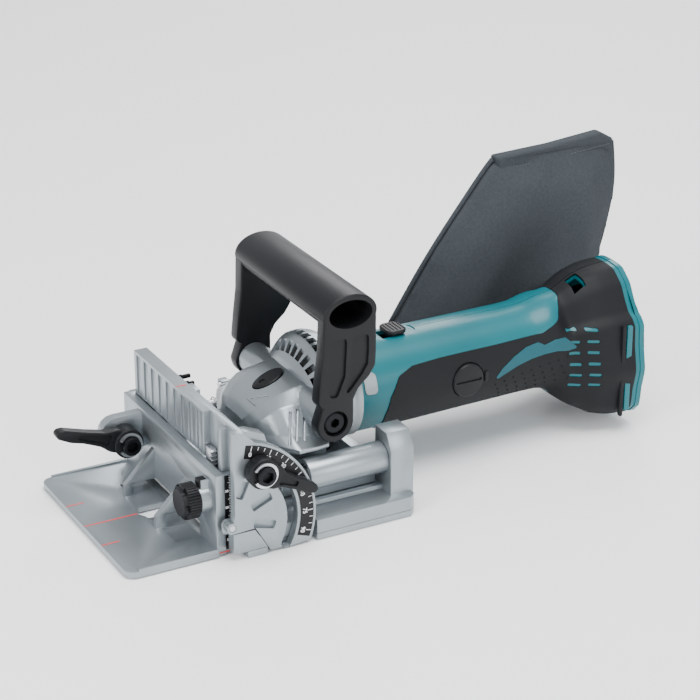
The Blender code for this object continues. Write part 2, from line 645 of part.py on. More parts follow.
def body_rings(grow, past=0.0):
    """Every section of the motor housing and battery foot, grown outwards by grow and run past both ends."""
    rings = [body_ring(*section, grow) for section in BODY]
    rings += [foot_ring(260, grow, 0.78), foot_ring(270, grow, 0.91), foot_ring(FOOT_REAR, grow)]
    if past:
        rings = [body_ring(HOUSING_FRONT - past, *BODY[0][1:], grow), *rings, foot_ring(FOOT_REAR + past, grow)]
    return rings


def motor_shells():
    """Left and right moulded shells that clamp the motor, open at the front and at the battery's face."""
    for name, low, high in (("housing_left", -60, -GAP / 2), ("housing_right", GAP / 2, 60)):
        made = loft(name, body_rings(-SKIN - 0.5), "teal_plastic")
        cut(made, loft(name + "_inside", body_rings(-SKIN - 0.5 - WALL, 4.0)))
        keep = box(name + "_side", (90, low, -20), (320, high, 120))
        boolean(made, "INTERSECT", [keep])
        s = -1 if low < -1 else 1
        cut(made, rod(name + "_cap_hole", (182.1, s * 12, MOTOR_Z - 0.9), (182.1, s * 40, MOTOR_Z - 0.9), 10.9, sides=26))
        cut(made, box(name + "_switch_slot", (133, -8, 74), (160, 8, 90)))
        cut(made, box(name + "_latch_hole", (273, -5, 85), (283, 5, 110)))




def rubber_grips():
    """Soft grips moulded over the lower half of both shells, from the brush caps back round the foot."""
    for name, s in (("grip_left", -1), ("grip_right", 1)):
        made = loft(name, body_rings(0.0), "rubber")
        cut(made, loft(name + "_inside", body_rings(-SKIN, 4.0)))
        side = [(128, 30), (137, 24), (200, 31), (238, 31), (262, 12), (276, 3), (298, 3), (298, 110), (268, 110),
                (262, 84), (246, 70), (150, 69), (134, 62), (129, 50)]
        low, high = span(s, 3.0, 60)
        boolean(made, "INTERSECT", [plate(name + "_side", side, "xz", low, high)])
        cut(made, rod(name + "_cap_hole", (182.1, s * 12, MOTOR_Z - 0.9), (182.1, s * 40, MOTOR_Z - 0.9), 10.9, sides=26))


def motor_fittings():
    """Brush caps, field yoke, bearings, slide switch body and battery terminals."""
    def side(s, suffix):
        turned("brush_cap_" + suffix, [(0, 4.6), (9.0, 4.6), (10.4, 3.6), (10.4, 0), (0, 0)],
               (182, s * 23.6, MOTOR_Z - 1), (0, s, 0), "black_plastic", 28)

    both_sides(side)
    turned("field_yoke", [(18.6, 52.0), (21.6, 52.0), (21.6, 0), (18.6, 0)], (124, 0, MOTOR_Z), (1, 0, 0), "steel", 18)
    turned("motor_bearing_front", [(3.8, 7.0), (11.0, 7.0), (11.0, 0), (3.8, 0)],
           (104.2, 0, MOTOR_Z), (1, 0, 0), "steel", 16)
    turned("motor_bearing_rear", [(3.8, 6.0), (9.5, 6.0), (9.5, 0), (3.8, 0)],
           (204, 0, MOTOR_Z), (1, 0, 0), "steel", 16)
    turned("spindle_bearing", [(6.3, 6.6), (13.0, 6.6), (13.0, 0), (6.3, 0)],
           (SPINDLE_X, 0, 17.2), (0, 0, 1), "steel", 18)
    box("switch_unit", (216, -9, 46), (236, 9, 68), "black_plastic")
    made = box("battery_terminal", (279, -20, 30), (296, 20, 62), "black_plastic")
    for k in (-2, -1, 1, 2):
        cut(made, box(f"terminal_slot_{k}", (286, k * 7 - 1.2, 36), (298, k * 7 + 1.2, 56)))


def slide_switch():
    """Thumb slider on top of the housing."""
    made = plate("slide_switch", rounded([(139.4, -7.5), (152.6, -7.5), (152.6, 7.5), (139.4, 7.5)], 4), "xy",
                 82.4, 84.6, "black_plastic")
    join(made, box("switch_stem", (143, -5, 76.5), (149, 5, 83)))


def armature():
    """Motor shaft with rotor, commutator, fan and bevel pinion, all turning together."""
    turned("armature_shaft", [(0, 131.7), (3.5, 131.7), (3.5, 0), (0, 0)], (80.3, 0, MOTOR_Z), (1, 0, 0), "steel", 16)
    turned("rotor_core", [(3.8, 44.0), (17.2, 44.0), (17.2, 0), (3.8, 0)], (128, 0, MOTOR_Z), (1, 0, 0), "steel", 18)
    turned("commutator", [(3.8, 12.0), (9.0, 12.0), (9.0, 0), (3.8, 0)], (188, 0, MOTOR_Z), (1, 0, 0), "copper", 16)
    fan = turned("cooling_fan", [(3.8, 8.0), (7.0, 8.0), (7.0, 2.0), (22.0, 2.0), (22.0, 0), (3.8, 0)],
                 (92, 0, MOTOR_Z), (1, 0, 0), "black_plastic", 18)
    for k in range(6):
        angle = math.tau * k / 6
        blade = box(f"fan_blade_{k}", (93.5, -8, -0.7), (99.5, 8, 0.7))
        turn = Matrix.Translation(at(96.5, 0, MOTOR_Z)) @ Matrix.Rotation(angle, 4, "X")
        blade.matrix_world = turn @ Matrix.Translation(Vector((0, 13.5 * MM, 0)))
        join(fan, blade)
    made = toothed("bevel_pinion", 9, [(3.3, 2.5, 71.8), (5.5, 4.2, 77.8), (5.5, 4.2, 78.8)], "x")
    join(made, rod("pinion_hub", (78.0, 0, MOTOR_Z), (89.0, 0, MOTOR_Z), 5.6, sides=20))
    cut(made, rod("pinion_bore", (80.0, 0, MOTOR_Z), (92, 0, MOTOR_Z), 3.8, sides=16))


def toothed(name, teeth, sections, axis):
    """A toothed cone: sections are (tip radius, root radius, place along the axis)."""
    rings = []
    for tip, root, place in sections:
        ring = []
        for i in range(teeth):
            for part, r in ((0.0, root), (0.22, tip), (0.5, tip), (0.72, root)):
                angle = math.tau * (i + part) / teeth
                u, v = r * math.cos(angle), r * math.sin(angle)
                ring.append((place, u, MOTOR_Z + v) if axis == "x" else (SPINDLE_X + u, v, place))
        rings.append(ring)
    return loft(name, rings, "steel")


def spindle_parts():
    """Spindle with its flange, driven bevel gear, blade and blade nut."""
    turned("spindle", [(0, 57.5), (5.0, 57.5), (5.0, 38.0), (6.0, 38.0), (6.0, 16.0), (7.6, 16.0), (7.6, 12.0),
                       (6.0, 12.0), (6.0, 11.0), (14.0, 11.0), (14.0, 9.3), (5.0, 9.3), (5.0, 4.2), (0, 4.2)],
           (SPINDLE_X, 0, 0), (0, 0, 1), "steel", 16)
    gear = toothed("bevel_gear", 24, [(13.2, 12.2, 40.0), (15.6, 14.2, 46.8), (9.8, 8.6, 48.8)], "z")
    cut(gear, rod("gear_bore", (SPINDLE_X, 0, 30), (SPINDLE_X, 0, 50), 6.3, sides=24))
    tips = []
    for tooth in range(6):
        start = 60 * tooth
        tips += arc(SPINDLE_X, 0, 44.5, start + 9, start + 50, 6)
        tips += arc(SPINDLE_X, 0, BLADE_R, start + 52, start + 62, 3)
    plate("blade", [tips, circle(SPINDLE_X, 0, 5.3, 20)], "xy", BLADE_LOW, BLADE_HIGH, "steel")
    turned("blade_nut", [(5.3, 6.3), (11.0, 6.3), (11.0, 4.1), (5.3, 4.1)], (SPINDLE_X, 0, 0), (0, 0, 1), "steel", 16)


def shaft_lock():
    """Spring-loaded button that pins the spindle for changing the blade."""
    made = plate("shaft_lock_button", ellipse(64.6, 0, 9.0, 6.6, 24), "xy", 71.6, 74.0, "black_plastic")
    join(made, rod("lock_stem", (67.4, 0, 66.0), (67.4, 0, 73.0), 3.8, sides=16))


def handle():
    """D-handle: an open oval grip tube on two legs that bolt to the gear housing."""
    tube = ellipse(*GRIP, 16.6, 11.4, 32)
    made = plate("handle", tube, "xz", -HANDLE_OUT, HANDLE_OUT, "black_plastic")
    boss = arc(*BOSS, 11.4, 180, 360, 11)
    leg = boss + [(90.0, 72), (92.5, 77.5), (99.5, 84.5), (103.6, 90), (104.2, 97), (104.2, 126), (71.4, 126),
                  (71.0, 102), (69.0, 86), (67.2, 70)]

    def side(s, suffix):
        join(made, plate("leg_" + suffix, leg, "xz", *span(s, HANDLE_IN, HANDLE_OUT)))

    both_sides(side)
    cut(made, plate("grip_bore", ellipse(*GRIP, 13.4, 8.2, 32), "xz", -HANDLE_OUT - 3, HANDLE_OUT + 3))

    def bolts(s, suffix):
        cut(made, rod("leg_hole_" + suffix, (BOSS[0], s * 45, BOSS[1]), (BOSS[0], s * 58, BOSS[1]), 3.3, sides=16),
            rod("leg_sink_" + suffix, (BOSS[0], s * 51.5, BOSS[1]), (BOSS[0], s * 58, BOSS[1]), 7.6, sides=24))
        turned("handle_bolt_" + suffix, [(0, 18.6), (6.6, 18.6), (6.6, 14.8), (3.0, 14.8), (3.0, 0), (0, 0)],
               (BOSS[0], s * 37.0, BOSS[1]), (0, s, 0), "black_plastic", 20)

    both_sides(bolts)


# ---- angle guide ------------------------------------------------------------------------------------------

def quadrant_outline():
    """Side view of the quadrant plate: the arc, the cut lower corner and the upright front edge."""
    rim = arc(PIVOT_X, PIVOT_Z, QUAD_R, -21, 74, 20)
    lug = arc(PIVOT_X, PIVOT_Z, 3.4, 75, 270, 9)
    return rim + [(14.0, GUIDE_TOP), (8.0, GUIDE_TOP), (8.0, 27.0)] + lug + [(20.2, 17.2), (29.3, 1.4)]


def slot_outline():
    """The curved slot that the clamp bolt runs in."""
    inner, outer = SLOT_R - SLOT_HALF, SLOT_R + SLOT_HALF
    low, high = CLAMP_ANGLE - 91, CLAMP_ANGLE + 1
    a, b = math.radians(low), math.radians(high)
    start = arc(PIVOT_X + SLOT_R * math.cos(a), PIVOT_Z + SLOT_R * math.sin(a), SLOT_HALF, low - 180, low, 6)
    end = arc(PIVOT_X + SLOT_R * math.cos(b), PIVOT_Z + SLOT_R * math.sin(b), SLOT_HALF, high, high + 180, 6)
    return (start[:-1] + arc(PIVOT_X, PIVOT_Z, outer, low, high, 16) + end[1:-1]
            + arc(PIVOT_X, PIVOT_Z, inner, high, low, 16)[:-1])


def angle_guide():
    """Tilting casting: ribbed face, rails for the fence, quadrant with the angle slot and the far arm."""
    made = box("angle_guide", (GUIDE_FRONT, -36.6, 49.5), (13.2, GUIDE_HALF, GUIDE_TOP), "cast_paint")
    window = rounded([(-34, 30), (40, 30), (40, 50.5), (-34, 50.5)], 3)
    back = [(-GUIDE_HALF, 21.2), (GUIDE_HALF, 21.2), (GUIDE_HALF, GUIDE_TOP), (-GUIDE_HALF, GUIDE_TOP)]
    join(made, plate("guide_back", [back, window], "yz", 10.8, GUIDE_BACK))
    join(made, box("near_rail", (GUIDE_FRONT, -GUIDE_HALF, 21.2), (12.0, -54.3, GUIDE_TOP - 2)),
         box("far_rail", (GUIDE_FRONT, 54.3, 21.2), (12.0, GUIDE_HALF, GUIDE_TOP - 2)),
         box("near_web", (10.8, -68, 25.2), (GUIDE_BACK, -56, GUIDE_TOP)),
         box("far_web", (10.8, 56, 25.2), (GUIDE_BACK, 68, FAR_TOP)))
    join(made, plate("quadrant", [quadrant_outline(), slot_outline()], "xz", -QUAD_OUT, -QUAD_IN))
    lug = arc(PIVOT_X, PIVOT_Z, 3.4, 75, 290, 9)
    arm = lug + [(16.0, 24.0), (18.0, 36.0), (16.0, FAR_TOP), (8.0, FAR_TOP), (8.0, 27.0)]
    join(made, plate("far_arm", arm, "xz", QUAD_IN, QUAD_OUT))
    join(made, box("sight_tab", (12.8, -6, 70.0), (19.0, 4, 74.5)))
    for s in (-1, 1):
        cut(made, rod(f"guide_pin_hole_{s}", (PIVOT_X, s * 64, PIVOT_Z), (PIVOT_X, s * 75, PIVOT_Z), 2.1, sides=16))
    rim = arc(PIVOT_X, PIVOT_Z, 49.6, -17, 71, 20) + arc(PIVOT_X, PIVOT_Z, 41.6, 71, -17, 20)
    cut(made, plate("scale_seat", rim, "xz", -QUAD_OUT - 1, -QUAD_OUT + 0.8))
    band = arc(PIVOT_X, PIVOT_Z, 49.2, -16.5, 70.5, 20) + arc(PIVOT_X, PIVOT_Z, 42.0, 70.5, -16.5, 20)
    plate("angle_scale", band, "xz", -QUAD_OUT, -QUAD_OUT + 0.5, "scale_black")


def height_rack():
    """Toothed bar in the guide's groove that the knob's pinion climbs."""
    pitch = math.pi * 2 * PINION_R / PINION_TEETH
    tip, root, back = KNOB_Y + PINION_R - 0.6, KNOB_Y + PINION_R + 0.9, -37.2
    low, high = KNOB_Z - 3 * pitch, KNOB_Z + 10 * pitch
    outline = [(back, low), (root, low)]
    count = round((high - low) / pitch)
    for i in range(count):
        middle = low + (i + 0.5) * pitch
        outline += [(root, middle - 0.62), (tip, middle - 0.22), (tip, middle + 0.22), (root, middle + 0.62)]
    outline += [(root, high), (back, high)]
    plate("height_rack", outline, "yz", 7.0, 10.4, "steel")


# ---- fence ------------------------------------------------------------------------------------------------

def fence():
    """L-shaped height fence: foot plate, upright, gussets, the blade's pocket and the clamp lug."""
    foot = rounded([(PLATE_FRONT, -PLATE_HALF), (1.4, -PLATE_HALF), (1.4, PLATE_HALF), (PLATE_FRONT, PLATE_HALF)],
                   [6, 0, 0, 6])
    sight = [(-20.5, -2), (-16.5, -9), (0.0, -9), (0.0, 5), (-16.5, 5)]
    made = plate("fence", [foot, sight], "xy", FENCE_LOW, PLATE_TOP, "cast_paint")
    join(made, box("upright", (1.0, -FENCE_HALF, FENCE_LOW), (FENCE_BACK, FENCE_HALF, FENCE_TOP)))
    gusset = [(2.0, 2.0), (2.0, 31.5), (-15.6, 13.2), (-18.0, 11.0), (-18.6, 2.0)]

    def side(s, suffix):
        low, high = span(s, 58.7, FENCE_HALF)
        join(made, box("flange_" + suffix, (2.0, low, 2.0), (10.5, high, FENCE_TOP)))
        low, high = span(s, 20.2, 23.8)
        join(made, plate("gusset_" + suffix, gusset, "xz", low, high))

    both_sides(side)
    lug = rounded([(2, 25), (2, 46.5), (-24.5, 46.5), (-24.5, 25)], [0, 0, 9, 9])
    join(made, plate("clamp_lug", lug, "xz", 36.4, 43.0))
    join(made, rod("knob_collar", (2.0, KNOB_Y, KNOB_Z), (-4.4, KNOB_Y, KNOB_Z), 8.2, sides=28),
         box("collar_pad", (-3.5, KNOB_Y - 4.5, KNOB_Z + 5.0), (2.0, KNOB_Y + 2.5, KNOB_Z + 12.5)))
    cut(made, plate("blade_pocket", circle(POCKET_X, 0, POCKET_R, 72), "xy", PLATE_TOP - 0.5, 11.6),
        rod("pinion_shaft_hole", (-8, KNOB_Y, KNOB_Z), (12, KNOB_Y, KNOB_Z), 2.8, sides=16),
        rod("lever_bolt_hole", (FENCE_LEVER[0], 34, FENCE_LEVER[1]), (FENCE_LEVER[0], 46, FENCE_LEVER[1]), 3.1,
            sides=20),
        box("scale_recess", (6.2, -70, 3.0), (10.2, -61.9, 48.4)))
    box("height_scale", (6.5, -62.5, 3.3), (9.9, -62.2, 48.1), "scale_black")
    turned("fence_clamp_bolt", [(0, 25.5), (5.4, 25.5), (5.4, 21.0), (2.8, 21.0), (2.8, 2.6), (5.6, 2.6), (5.6, 0),
                                (0, 0)], (FENCE_LEVER[0], 46.0, FENCE_LEVER[1]), (0, -1, 0), "black_plastic", 18)


def knob():
    """Knurled height knob on the pinion's shaft."""
    turned("height_knob", [(0, 10.6), (7.5, 10.6), (9.4, 9.6), (KNOB_R, 8.2), (KNOB_R, 1.0), (9.0, 0.0),
                                  (0, 0)], (-4.8, KNOB_Y, KNOB_Z), (-1, 0, 0), "black_plastic", 36)
    rings = []
    for x in (7.0, 10.2):
        ring = []
        for i in range(PINION_TEETH):
            for part, r in ((-0.25, 3.0), (-0.12, PINION_R + 0.55), (0.12, PINION_R + 0.55), (0.25, 3.0)):
                angle = math.tau * (i + part) / PINION_TEETH
                ring.append((x, KNOB_Y + r * math.cos(angle), KNOB_Z + r * math.sin(angle)))
        rings.append(ring)
    pinion = loft("height_pinion", rings, "steel")
    join(pinion, rod("pinion_shaft", (-4.4, KNOB_Y, KNOB_Z), (8.0, KNOB_Y, KNOB_Z), 2.4, sides=16))
    pivot_at(pinion, 0, KNOB_Y, KNOB_Z)


def lever(name, axis_x, axis_z, low, high, tip_x, tip_z, boss):
    """A clamp lever in the xz plane: a round hub and a tapering arm with a flat thumb end."""
    along = Vector((tip_x - axis_x, tip_z - axis_z))
    length = along.length
    angle = math.degrees(math.atan2(along.y, along.x))
    arm = [(0, -boss * 0.8), (length * 0.33, -4.6), (length * 0.6, -3.8), (length - 3, -3.6), (length, -1.6),
           (length, 1.8), (length - 10, 3.8), (length * 0.6, 3.4), (length * 0.33, 4.4), (0, boss * 0.8)]
    turn = Matrix.Rotation(math.radians(angle), 2)
    outline = [tuple(Vector((axis_x, axis_z)) + turn @ Vector(p)) for p in arm]
    middle = (low + high) / 2
    half = min(4.2, (high - low) / 2 - 0.3)
    made = plate(name, circle(axis_x, axis_z, boss, 28), "xz", low, high, "black_plastic")
    join(made, plate(name + "_arm", outline, "xz", middle - half, middle + half))
    cut(made, rod(name + "_bore", (axis_x, low - 2, axis_z), (axis_x, high + 2, axis_z), 3.1, sides=20))
    pivot_at(made, axis_x, middle, axis_z)
    return made


def levers():
    """The fence's clamp lever and the angle guide's, with their wire clips."""
    lever("fence_clamp_lever", *FENCE_LEVER, 25.4, 36.1, -55.0, 48.2, 9.0)
    clamp_x = PIVOT_X + SLOT_R * math.cos(math.radians(CLAMP_ANGLE))
    clamp_z = PIVOT_Z + SLOT_R * math.sin(math.radians(CLAMP_ANGLE))
    lever("angle_clamp_lever", clamp_x, clamp_z, -79.3, -71.9, 55.5, 35.5, 9.0)
    clip("fence_lever_clip", *FENCE_LEVER, 23.6, 25.0)
    clip("angle_lever_clip", clamp_x, clamp_z, -81.2, -79.9)


def clip(name, x, z, low, high):
    """An open spring ring round a clamp bolt's head."""
    ring = arc(x, z, 7.4, -150, 150, 22) + arc(x, z, 5.9, 150, -150, 22)
    plate(name, ring, "xz", low, high, "steel")


sole_plate()
sole_screw()
blade_cover()
base_fittings()
depth_turret()
dust_nozzle()
bag_parts()
slide_carriage()
carriage_fittings()
gear_housing()
bearing_plate()
motor_shells()
rubber_grips()
motor_fittings()
slide_switch()
armature()
spindle_parts()
shaft_lock()
handle()
angle_guide()
height_rack()
fence()
knob()
levers()
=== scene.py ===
import json
import math

import bmesh
import bpy
from mathutils import Matrix, Vector, noise


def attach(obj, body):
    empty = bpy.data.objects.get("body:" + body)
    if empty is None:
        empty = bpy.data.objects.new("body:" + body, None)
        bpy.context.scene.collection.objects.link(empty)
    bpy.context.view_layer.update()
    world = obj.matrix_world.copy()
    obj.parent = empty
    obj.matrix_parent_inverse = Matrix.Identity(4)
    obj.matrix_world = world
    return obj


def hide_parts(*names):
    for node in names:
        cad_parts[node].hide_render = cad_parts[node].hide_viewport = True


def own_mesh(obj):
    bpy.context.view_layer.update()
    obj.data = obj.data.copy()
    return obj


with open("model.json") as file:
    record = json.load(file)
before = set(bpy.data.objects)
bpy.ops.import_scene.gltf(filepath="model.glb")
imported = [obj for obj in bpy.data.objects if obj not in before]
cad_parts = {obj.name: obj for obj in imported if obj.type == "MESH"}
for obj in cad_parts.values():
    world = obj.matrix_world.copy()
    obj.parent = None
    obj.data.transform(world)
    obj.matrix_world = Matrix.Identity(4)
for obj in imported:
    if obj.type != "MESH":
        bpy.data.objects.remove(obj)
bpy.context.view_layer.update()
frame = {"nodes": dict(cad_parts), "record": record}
mm = 0.001
spindleX = 62.5  # the row's origin, behind the fence's front face


def at(x, y, z):
    return Vector(((x - spindleX) * mm, y * mm, z * mm))


# shader maths: a wrapped socket that adds its own Math nodes

class Val:
    def __init__(self, tree, socket):
        self.tree, self.socket = tree, socket

    def maths(self, operation, *others):
        made = self.tree.nodes.new("ShaderNodeMath")
        made.operation = operation
        for place, value in zip(made.inputs, others):
            if isinstance(value, Val):
                self.tree.links.new(value.socket, place)
            else:
                place.default_value = value
        return Val(self.tree, made.outputs[0])

    def __add__(self, other): return self.maths("ADD", self, other)
    def __radd__(self, other): return self.maths("ADD", other, self)
    def __sub__(self, other): return self.maths("SUBTRACT", self, other)
    def __rsub__(self, other): return self.maths("SUBTRACT", other, self)
    def __mul__(self, other): return self.maths("MULTIPLY", self, other)
    def __rmul__(self, other): return self.maths("MULTIPLY", other, self)
    def __truediv__(self, other): return self.maths("DIVIDE", self, other)
    def __abs__(self): return self.maths("ABSOLUTE", self)
    def __pow__(self, other): return self.maths("POWER", self, other)
    def sine(self): return self.maths("SINE", self)
    def clip(self): return self.maths("MINIMUM", self.maths("MAXIMUM", self, 0.0), 1.0)


class Shader:
    def __init__(self, name, **fixed):
        self.material = bpy.data.materials.new(name)
        self.material.use_nodes = True
        self.tree = self.material.node_tree
        self.main = self.tree.nodes["Principled BSDF"]
        for socket, value in fixed.items():
            self.main.inputs[socket.replace("_", " ")].default_value = value
        self.where = self.node("TexCoord").outputs["Object"]

    def node(self, kind, settings=None, **values):
        made = self.tree.nodes.new("ShaderNode" + kind)
        for key, value in (settings or {}).items():
            if key == "stops":
                ramp = made.color_ramp.elements
                while len(ramp) < len(value):
                    ramp.new(0.5)
                for stop, (place, colour) in zip(ramp, value):
                    stop.position, stop.color = place, (*colour, 1.0)
            else:
                setattr(made, key, value)
        for key, value in values.items():
            self.feed(made.inputs[key.replace("_", " ")], value)
        return made

    def feed(self, place, value):
        if isinstance(value, Val):
            self.tree.links.new(value.socket, place)
        elif isinstance(value, bpy.types.NodeSocket):
            self.tree.links.new(value, place)
        else:
            place.default_value = value

    def noise(self, size, detail=3.0, rough=0.5):
        made = self.node("TexNoise", Vector=self.where, Scale=1 / (size * mm), Detail=detail, Roughness=rough)
        return Val(self.tree, made.outputs["Fac"])

    def parts(self):
        split = self.node("SeparateXYZ", Vector=self.where)
        return [Val(self.tree, out) for out in split.outputs]

    def blend(self, share, a, b):
        made = self.node("Mix", {"data_type": "RGBA"})
        self.feed(made.inputs[0], share)
        self.feed(made.inputs[6], (*a, 1.0) if isinstance(a, tuple) else a)
        self.feed(made.inputs[7], (*b, 1.0) if isinstance(b, tuple) else b)
        return made.outputs[2]

    def colour(self, value): self.feed(self.main.inputs["Base Color"], value)
    def rough(self, value): self.feed(self.main.inputs["Roughness"], value)

    def bump(self, height, depth, strength=1.0):
        made = self.node("Bump", Strength=strength, Distance=depth * mm, Height=height)
        self.tree.links.new(made.outputs[0], self.main.inputs["Normal"])


def castPaint():
    look = {"pale": (0.335, 0.37, 0.39), "deep": (0.245, 0.275, 0.295), "rough": 0.30, "spread": 0.14, "grain": 0.35}
    made = Shader("castPaint", Metallic=0.75, Coat_Weight=0.12, Coat_Roughness=0.3)
    cloud, fine = made.noise(18.0, 2.0), made.noise(look["grain"], 2.0)
    made.colour(made.blend(cloud * 0.7 + fine * 0.3, look["deep"], look["pale"]))
    made.rough(look["rough"] + look["spread"] * (fine - 0.5) + 0.06 * cloud)
    made.bump(fine, 0.035, 0.6)
    return made.material


def machined():
    look = {"bright": (0.62, 0.63, 0.65), "dull": (0.46, 0.47, 0.49)}
    made = Shader("machinedSteel", Metallic=1.0)
    fine = made.noise(0.5, 2.0)
    made.colour(made.blend(fine, look["dull"], look["bright"]))
    made.rough(0.24 + 0.16 * fine)
    made.bump(fine, 0.01, 0.4)
    return made.material


def blackened():
    made = Shader("blackenedSteel", Metallic=0.8)
    fine = made.noise(0.6, 2.0)
    made.colour(made.blend(fine, (0.006, 0.0065, 0.008), (0.015, 0.016, 0.019)))
    made.rough(0.32 + 0.15 * fine)
    return made.material


def moulded(name, pale, deep, rough, grain, depth, coat=0.0, shine=0.3):
    made = Shader(name, Coat_Weight=coat, Coat_Roughness=0.2, Specular_IOR_Level=shine)
    cloud, fine = made.noise(25.0, 2.0), made.noise(grain, 2.0, 0.6)
    made.colour(made.blend(cloud, deep, pale))
    made.rough(rough + 0.10 * (fine - 0.5) + 0.05 * cloud)
    made.bump(fine, depth, 0.7)
    return made.material


def metalTint(name, pale, deep):
    made = Shader(name, Metallic=1.0)
    fine = made.noise(0.8, 2.0)
    made.colour(made.blend(fine, deep, pale))
    made.rough(0.3 + 0.12 * fine)
    return made.material


def painted(name, colour, rough):
    made = Shader(name)
    fine = made.noise(0.4, 2.0)
    made.colour(made.blend(fine, tuple(c * 0.85 for c in colour), colour))
    made.rough(rough + 0.1 * fine)
    return made.material


def wovenCloth():
    look = {"pitch": 0.9, "pale": (0.062, 0.070, 0.078), "deep": (0.020, 0.0235, 0.027), "sheen": 0.05}
    made = Shader("wovenCloth", Sheen_Weight=look["sheen"], Sheen_Roughness=0.45, Specular_IOR_Level=0.08,
                  Sheen_Tint=(0.5, 0.56, 0.65, 1.0))
    x, y, z = made.parts()
    turn = math.tau / (look["pitch"] * mm)
    warp, weft = ((x + z * 0.18) * turn).sine(), ((z - x * 0.18 + y) * turn).sine()
    thread = 0.5 + 0.5 * warp * weft
    slub, cloud = made.noise(1.6, 3.0, 0.65), made.noise(30.0, 3.0)
    made.colour(made.blend((0.6 * slub + 0.3 * thread + 0.2 * cloud).clip(), look["deep"], look["pale"]))
    made.rough(0.82 + 0.12 * slub)
    made.bump(0.6 * thread + 0.4 * slub, 0.3, 0.9)
    return made.material


finishes = {
    "cast": castPaint(), "steel": machined(), "dark_steel": blackened(),
    "bronze": metalTint("sinteredBronze", (0.55, 0.38, 0.16), (0.38, 0.24, 0.09)),
    "copper": metalTint("copperBars", (0.72, 0.36, 0.18), (0.5, 0.22, 0.1)),
    "teal": moulded("tealPlastic", (0.0, 0.125, 0.150), (0.0, 0.098, 0.120), 0.33, 0.5, 0.02, 0.12, 0.3),
    "black": moulded("blackPlastic", (0.0075, 0.0082, 0.0095), (0.0045, 0.005, 0.006), 0.40, 0.55, 0.05, 0.0, 0.22),
    "rubber": moulded("gripRubber", (0.0095, 0.0105, 0.012), (0.006, 0.0066, 0.0078), 0.52, 0.35, 0.05, 0.0, 0.16),
    "scale": moulded("scaleBlack", (0.005, 0.005, 0.006), (0.003, 0.003, 0.0035), 0.38, 0.4, 0.01),
    "cloth": wovenCloth(),
    "white": painted("whiteMarks", (0.85, 0.87, 0.88), 0.5),
    "thread": painted("sewingThread", (0.075, 0.085, 0.095), 0.8),
    "red": painted("redMarks", (0.75, 0.03, 0.03), 0.45),
    # dark: a near-black matte colour, painted shade for the insides seen through the vents and the latch hole
    "dark": painted("paintedShadeInside", (0.006, 0.006, 0.007), 0.8),
}
print("materials ready")


# shapes

def keep(name, mesh, place=None):
    made = bpy.data.objects.new(name, mesh)
    bpy.context.scene.collection.objects.link(made)
    if place is not None:
        made.matrix_world = place
    return made


def box(name, low, high):
    mesh, shape = bpy.data.meshes.new(name), bmesh.new()
    bmesh.ops.create_cube(shape, size=1.0)
    bmesh.ops.scale(shape, vec=[(b - a) * mm for a, b in zip(low, high)], verts=shape.verts)
    shape.to_mesh(mesh)
    shape.free()
    return keep(name, mesh, Matrix.Translation(at(*[(a + b) / 2 for a, b in zip(low, high)])))


def rod(name, start, end, radius, sides=48, farRadius=None):
    a, b = at(*start), at(*end)
    mesh, shape = bpy.data.meshes.new(name), bmesh.new()
    bmesh.ops.create_cone(shape, cap_ends=True, segments=sides, radius1=radius * mm,
                          radius2=(radius if farRadius is None else farRadius) * mm, depth=(b - a).length)
    shape.to_mesh(mesh)
    shape.free()
    turn = (b - a).to_track_quat("Z", "Y").to_matrix().to_4x4()
    return keep(name, mesh, Matrix.Translation((a + b) / 2) @ turn)


def turned(name, profile, foot, axis, steps=64):
    mesh = bpy.data.meshes.new(name)
    points = [(r * mm, 0.0, h * mm) for r, h in profile]
    edges = [(i, i + 1) for i in range(len(points) - 1)]
    if profile[0][0] > 0 and profile[-1][0] > 0:
        edges.append((len(points) - 1, 0))
    mesh.from_pydata(points, edges, [])
    turn = Vector(axis).to_track_quat("Z", "Y").to_matrix().to_4x4()
    made = keep(name, mesh, Matrix.Translation(at(*foot)) @ turn)
    screw = made.modifiers.new("turned", "SCREW")
    screw.steps = screw.render_steps = steps
    screw.use_merge_vertices = True
    screw.merge_threshold = 0.00001
    return made


planes = {
    "xy": Matrix(((1, 0, 0), (0, 1, 0), (0, 0, 1))),
    "xz": Matrix(((1, 0, 0), (0, 0, -1), (0, 1, 0))),
    "yz": Matrix(((0, 0, 1), (1, 0, 0), (0, 1, 0))),
}


def plate(name, outlines, plane, low, high, bevel=0.0):
    curve = bpy.data.curves.new(name, "CURVE")
    curve.dimensions, curve.fill_mode = "2D", "BOTH"
    curve.extrude = (high - low) / 2 * mm - bevel * mm
    curve.bevel_depth, curve.bevel_resolution, curve.offset = bevel * mm, 2, -bevel * mm
    for outline in outlines if isinstance(outlines[0], list) else [outlines]:
        spline = curve.splines.new("POLY")
        spline.points.add(len(outline) - 1)
        for point, (u, v) in zip(spline.points, outline):
            point.co = (u * mm, v * mm, 0.0, 1.0)
        spline.use_cyclic_u = True
    middle = (low + high) / 2
    centre = {"xy": at(0, 0, middle), "xz": at(0, middle, 0), "yz": at(middle, 0, 0)}[plane]
    made = bpy.data.objects.new(name + "Curve", curve)
    bpy.context.scene.collection.objects.link(made)
    made.matrix_world = Matrix.Translation(centre) @ planes[plane].to_4x4()
    return plain(made, name)


def plain(source, name=None, dist=0.004):
    bpy.context.view_layer.update()
    evaluated = source.evaluated_get(bpy.context.evaluated_depsgraph_get())
    mesh = bpy.data.meshes.new_from_object(evaluated)
    mesh.transform(source.matrix_world)
    shape = bmesh.new()
    shape.from_mesh(mesh)
    bmesh.ops.remove_doubles(shape, verts=shape.verts, dist=dist * mm)
    bmesh.ops.recalc_face_normals(shape, faces=shape.faces)
    shape.to_mesh(mesh)
    shape.free()
    label = name or source.name
    bpy.data.objects.remove(source)
    return keep(label, mesh)


